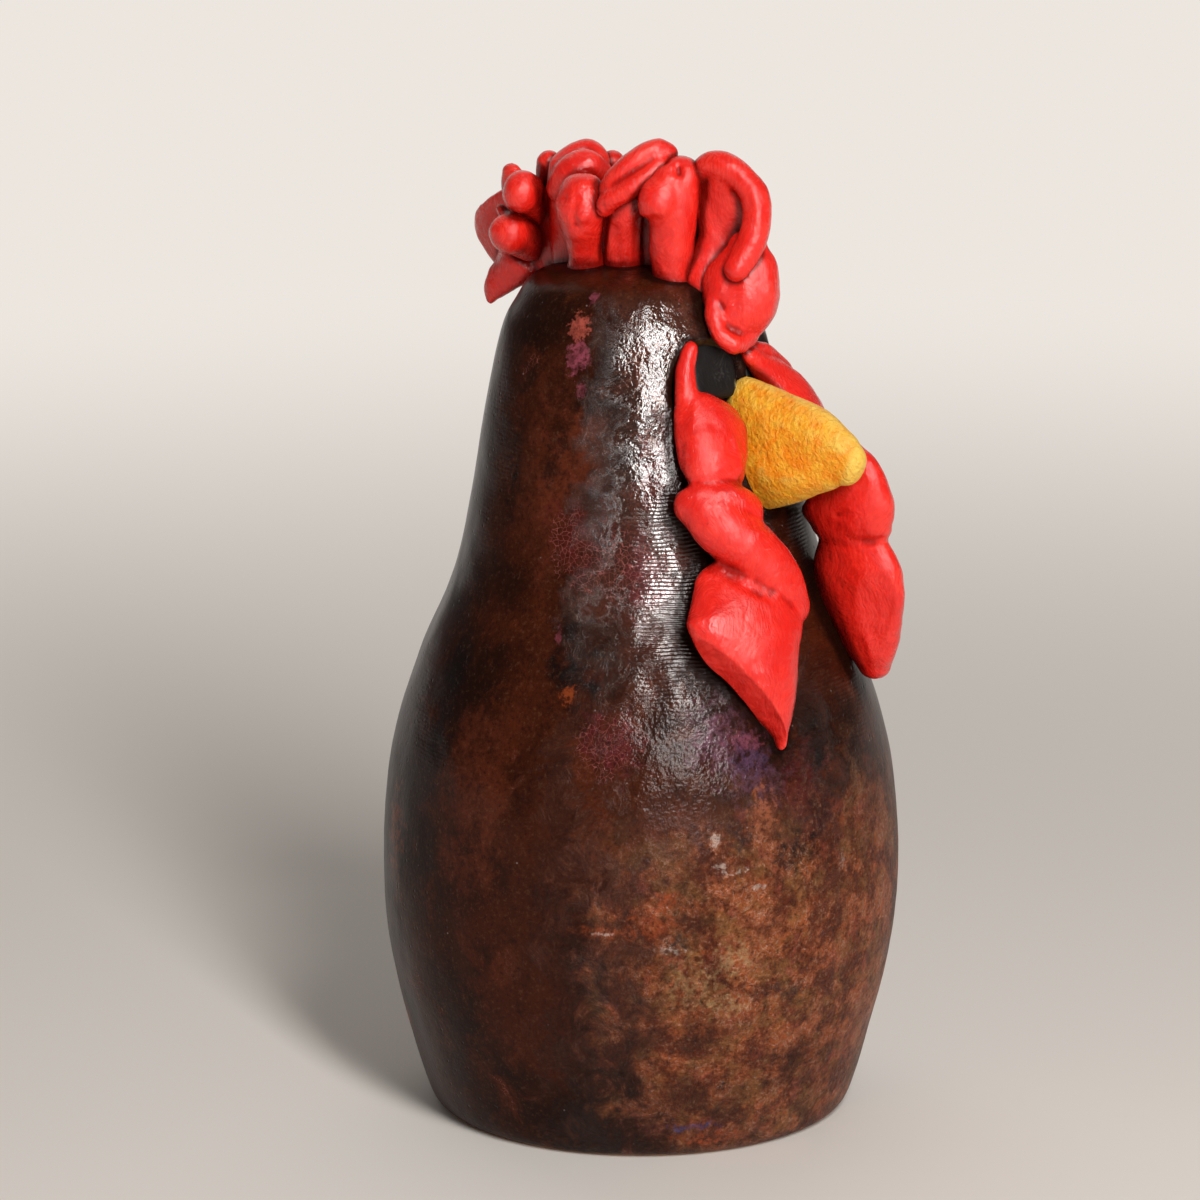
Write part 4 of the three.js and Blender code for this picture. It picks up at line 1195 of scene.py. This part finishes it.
# %% Raise the relief of the glaze
RING_SPACING = 0.00086
peel = add(tree, "TexNoise", {"Vector": place, "Scale": 820.0, "Detail": 3.0, "Roughness": 0.55}).outputs[0]
shoulder = sum_of(tree, "MULTIPLY", remapped(tree, spot[2], 0.094, 0.118), remapped(tree, spot[2], 0.156, 0.138))
peel = sum_of(tree, "MULTIPLY", peel, remapped(tree, rugged, 0.0, 1.0, 0.3, 1.1))
peel = sum_of(tree, "MULTIPLY", peel, remapped(tree, shoulder, 0.0, 1.0, 1.0, 0.5))
throat = add(tree, "VectorMath", {0: outward, 1: facing(THROAT_TURN)}, operation="DOT_PRODUCT").outputs["Value"]
throat = sum_of(tree, "MULTIPLY", remapped(tree, throat, 0.74, 0.88), remapped(tree, tint[0], 0.36, 0.52))
shoulder = sum_of(tree, "MULTIPLY", shoulder, throat)
drift = add(tree, "TexNoise", {"Vector": place, "Scale": 60.0, "Detail": 2.0}).outputs[0]
level = sum_of(tree, "ADD", spot[2], sum_of(tree, "MULTIPLY", drift, 0.003))
wave = sum_of(tree, "SINE", sum_of(tree, "MULTIPLY", level, math.tau / RING_SPACING))
flat = add(tree, "VectorMath", {0: place, 1: (25, 25, 900)}, operation="MULTIPLY").outputs[0]
broken_rings = add(tree, "TexNoise", {"Vector": flat, "Scale": 1.0, "Detail": 3.0}).outputs[0]
rings = sum_of(tree, "ADD", sum_of(tree, "MULTIPLY", wave, 0.35), broken_rings)
rings = sum_of(tree, "MULTIPLY", rings, remapped(tree, shoulder, 0.0, 1.0, 0.03, 0.5))
puckers = sum_of(tree, "MULTIPLY", puckers, remapped(tree, lustre, 0.0, 1.0, 0.1, 5.0))
dents = add(tree, "TexNoise", {"Vector": place, "Scale": 85.0, "Detail": 1.0}).outputs[0]
dents = sum_of(tree, "MULTIPLY", dents, remapped(tree, rugged, 0.0, 1.0, 2.0, 6.5))
pinholes = use(tree, specks, 0, place=place, scale=520.0, size=0.3, few=0.7)
relief = sum_of(tree, "ADD", sum_of(tree, "ADD", peel, rings), sum_of(tree, "ADD", puckers, dents))
glass_bump = add(tree, "Bump", {"Strength": 1.0, "Distance": 0.00023, "Height": relief})
tree.links.new(glass_bump.outputs[0], shader.inputs["Coat Normal"])
relief = sum_of(tree, "SUBTRACT", relief, sum_of(tree, "MULTIPLY", pinholes, 0.4))
relief = sum_of(tree, "SUBTRACT", relief, sum_of(tree, "MULTIPLY", crackled, 0.15))
bump = add(tree, "Bump", {"Strength": 1.0, "Distance": 0.00023, "Height": relief})
tree.links.new(bump.outputs[0], shader.inputs["Normal"])

# %% [markdown]
# ## Dressing the pieces
# A table gives the finish of each piece that is not painted red, so one loop puts the finishes on.

# %% Put the finishes on
FINISHES = {"copper_glaze": copper_glaze, "red_paint": red_paint, "yellow_paint": yellow_paint,
            "black_paint": black_paint}
SLOT_OF = {"body_shell": "copper_glaze", "beak": "yellow_paint", "right_eye": "black_paint",
           "left_eye": "black_paint"}
for name, piece in pieces.items():
    piece.data.materials.append(FINISHES[SLOT_OF.get(name, "red_paint")])
print(len(pieces), "pieces dressed")

# %% [markdown]
# ## Floor, light and camera
# The bird stands on a plain pale floor. Close to it the floor takes its shadow, and further off
# the floor's own colour is shown to the camera and in reflections, so the background stays even. One tall lamp
# stands to the right of the camera, like a window, and draws the long highlight down the neck. A lamp
# behind the bird lights its far side, and a dim world fills the rest. The camera looks at the bird's
# right side from a little above.

# %% Lay the floor and light the world
PAPER = (0.84, 0.79, 0.74, 1)
floor_mesh = bpy.data.meshes.new("studio_floor")
bm = bmesh.new()
bmesh.ops.create_circle(bm, cap_ends=True, segments=96, radius=9)
bm.to_mesh(floor_mesh)
bm.free()
floor = bpy.data.objects.new("studio_floor", floor_mesh)
bpy.context.scene.collection.objects.link(floor)
floor_paint, tree, shader, place = new_material("floor_paint")
shader.inputs["Base Color"].default_value = PAPER
shader.inputs["Roughness"].default_value = 0.85
shader.inputs["Specular IOR Level"].default_value = 0.1
away = add(tree, "VectorMath", {0: place}, operation="LENGTH").outputs["Value"]
ray = add(tree, "LightPath").outputs
seen = sum_of(tree, "ADD", ray["Is Camera Ray"], ray["Is Glossy Ray"])
seen = sum_of(tree, "ADD", seen, ray["Is Transmission Ray"], clamp=True)
plain = sum_of(tree, "MULTIPLY", remapped(tree, away, 0.2, 1.1), seen)
even = add(tree, "Emission", {"Color": PAPER, "Strength": 1.0})
mixed = add(tree, "MixShader", {0: plain, 1: shader.outputs[0], 2: even.outputs[0]})
tree.links.new(mixed.outputs[0], tree.nodes["Material Output"].inputs["Surface"])
floor_mesh.materials.append(floor_paint)

world = bpy.data.worlds.new("studio_world")
world.use_nodes = True
bpy.context.scene.world = world
world.node_tree.nodes["Background"].inputs["Color"].default_value = (1, 0.97, 0.94, 1)
world.node_tree.nodes["Background"].inputs["Strength"].default_value = 0.13

# %% Set the lamps
LOOK_TURN = 52
LOOK_RISE = 13
LOOK_AT_HEIGHT = 0.117
LOOK_DISTANCE = 1.2
FRAME_WIDTH = 0.27216
LEFT_OF_AXIS = 0.0093


def lamp(name, turn, rise, distance, wide, tall, power, colour):
    light = bpy.data.lights.new(name, "AREA")
    light.shape = "RECTANGLE"
    light.size = wide
    light.size_y = tall
    light.energy = power
    light.color = colour
    holder = bpy.data.objects.new(name, light)
    way = facing(turn, rise)
    holder.location = Vector((0, 0, LOOK_AT_HEIGHT)) + way * distance
    holder.rotation_euler = way.to_track_quat("Z", "Y").to_euler()
    bpy.context.scene.collection.objects.link(holder)


lamp("key", LOOK_TURN - 19, 31.5, 1.1, 0.16, 0.86, 12, (1, 0.985, 0.96))
lamp("back", LOOK_TURN + 172, 38, 1.7, 2.1, 2.1, 9, (1, 0.95, 0.9))

# %% Place the camera
camera_data = bpy.data.cameras.new("camera")
camera_data.sensor_width = 36
camera_data.lens = camera_data.sensor_width * LOOK_DISTANCE / FRAME_WIDTH
camera = bpy.data.objects.new("camera", camera_data)
look_way = facing(LOOK_TURN, LOOK_RISE)
rightward = Vector((0, 0, 1)).cross(look_way).normalized()
aim = Vector((0, 0, LOOK_AT_HEIGHT)) - rightward * LEFT_OF_AXIS
camera.location = aim + look_way * LOOK_DISTANCE
camera.rotation_euler = look_way.to_track_quat("Z", "Y").to_euler()
bpy.context.scene.collection.objects.link(camera)
bpy.context.scene.camera = camera
bpy.context.scene.view_settings.view_transform = "Standard"
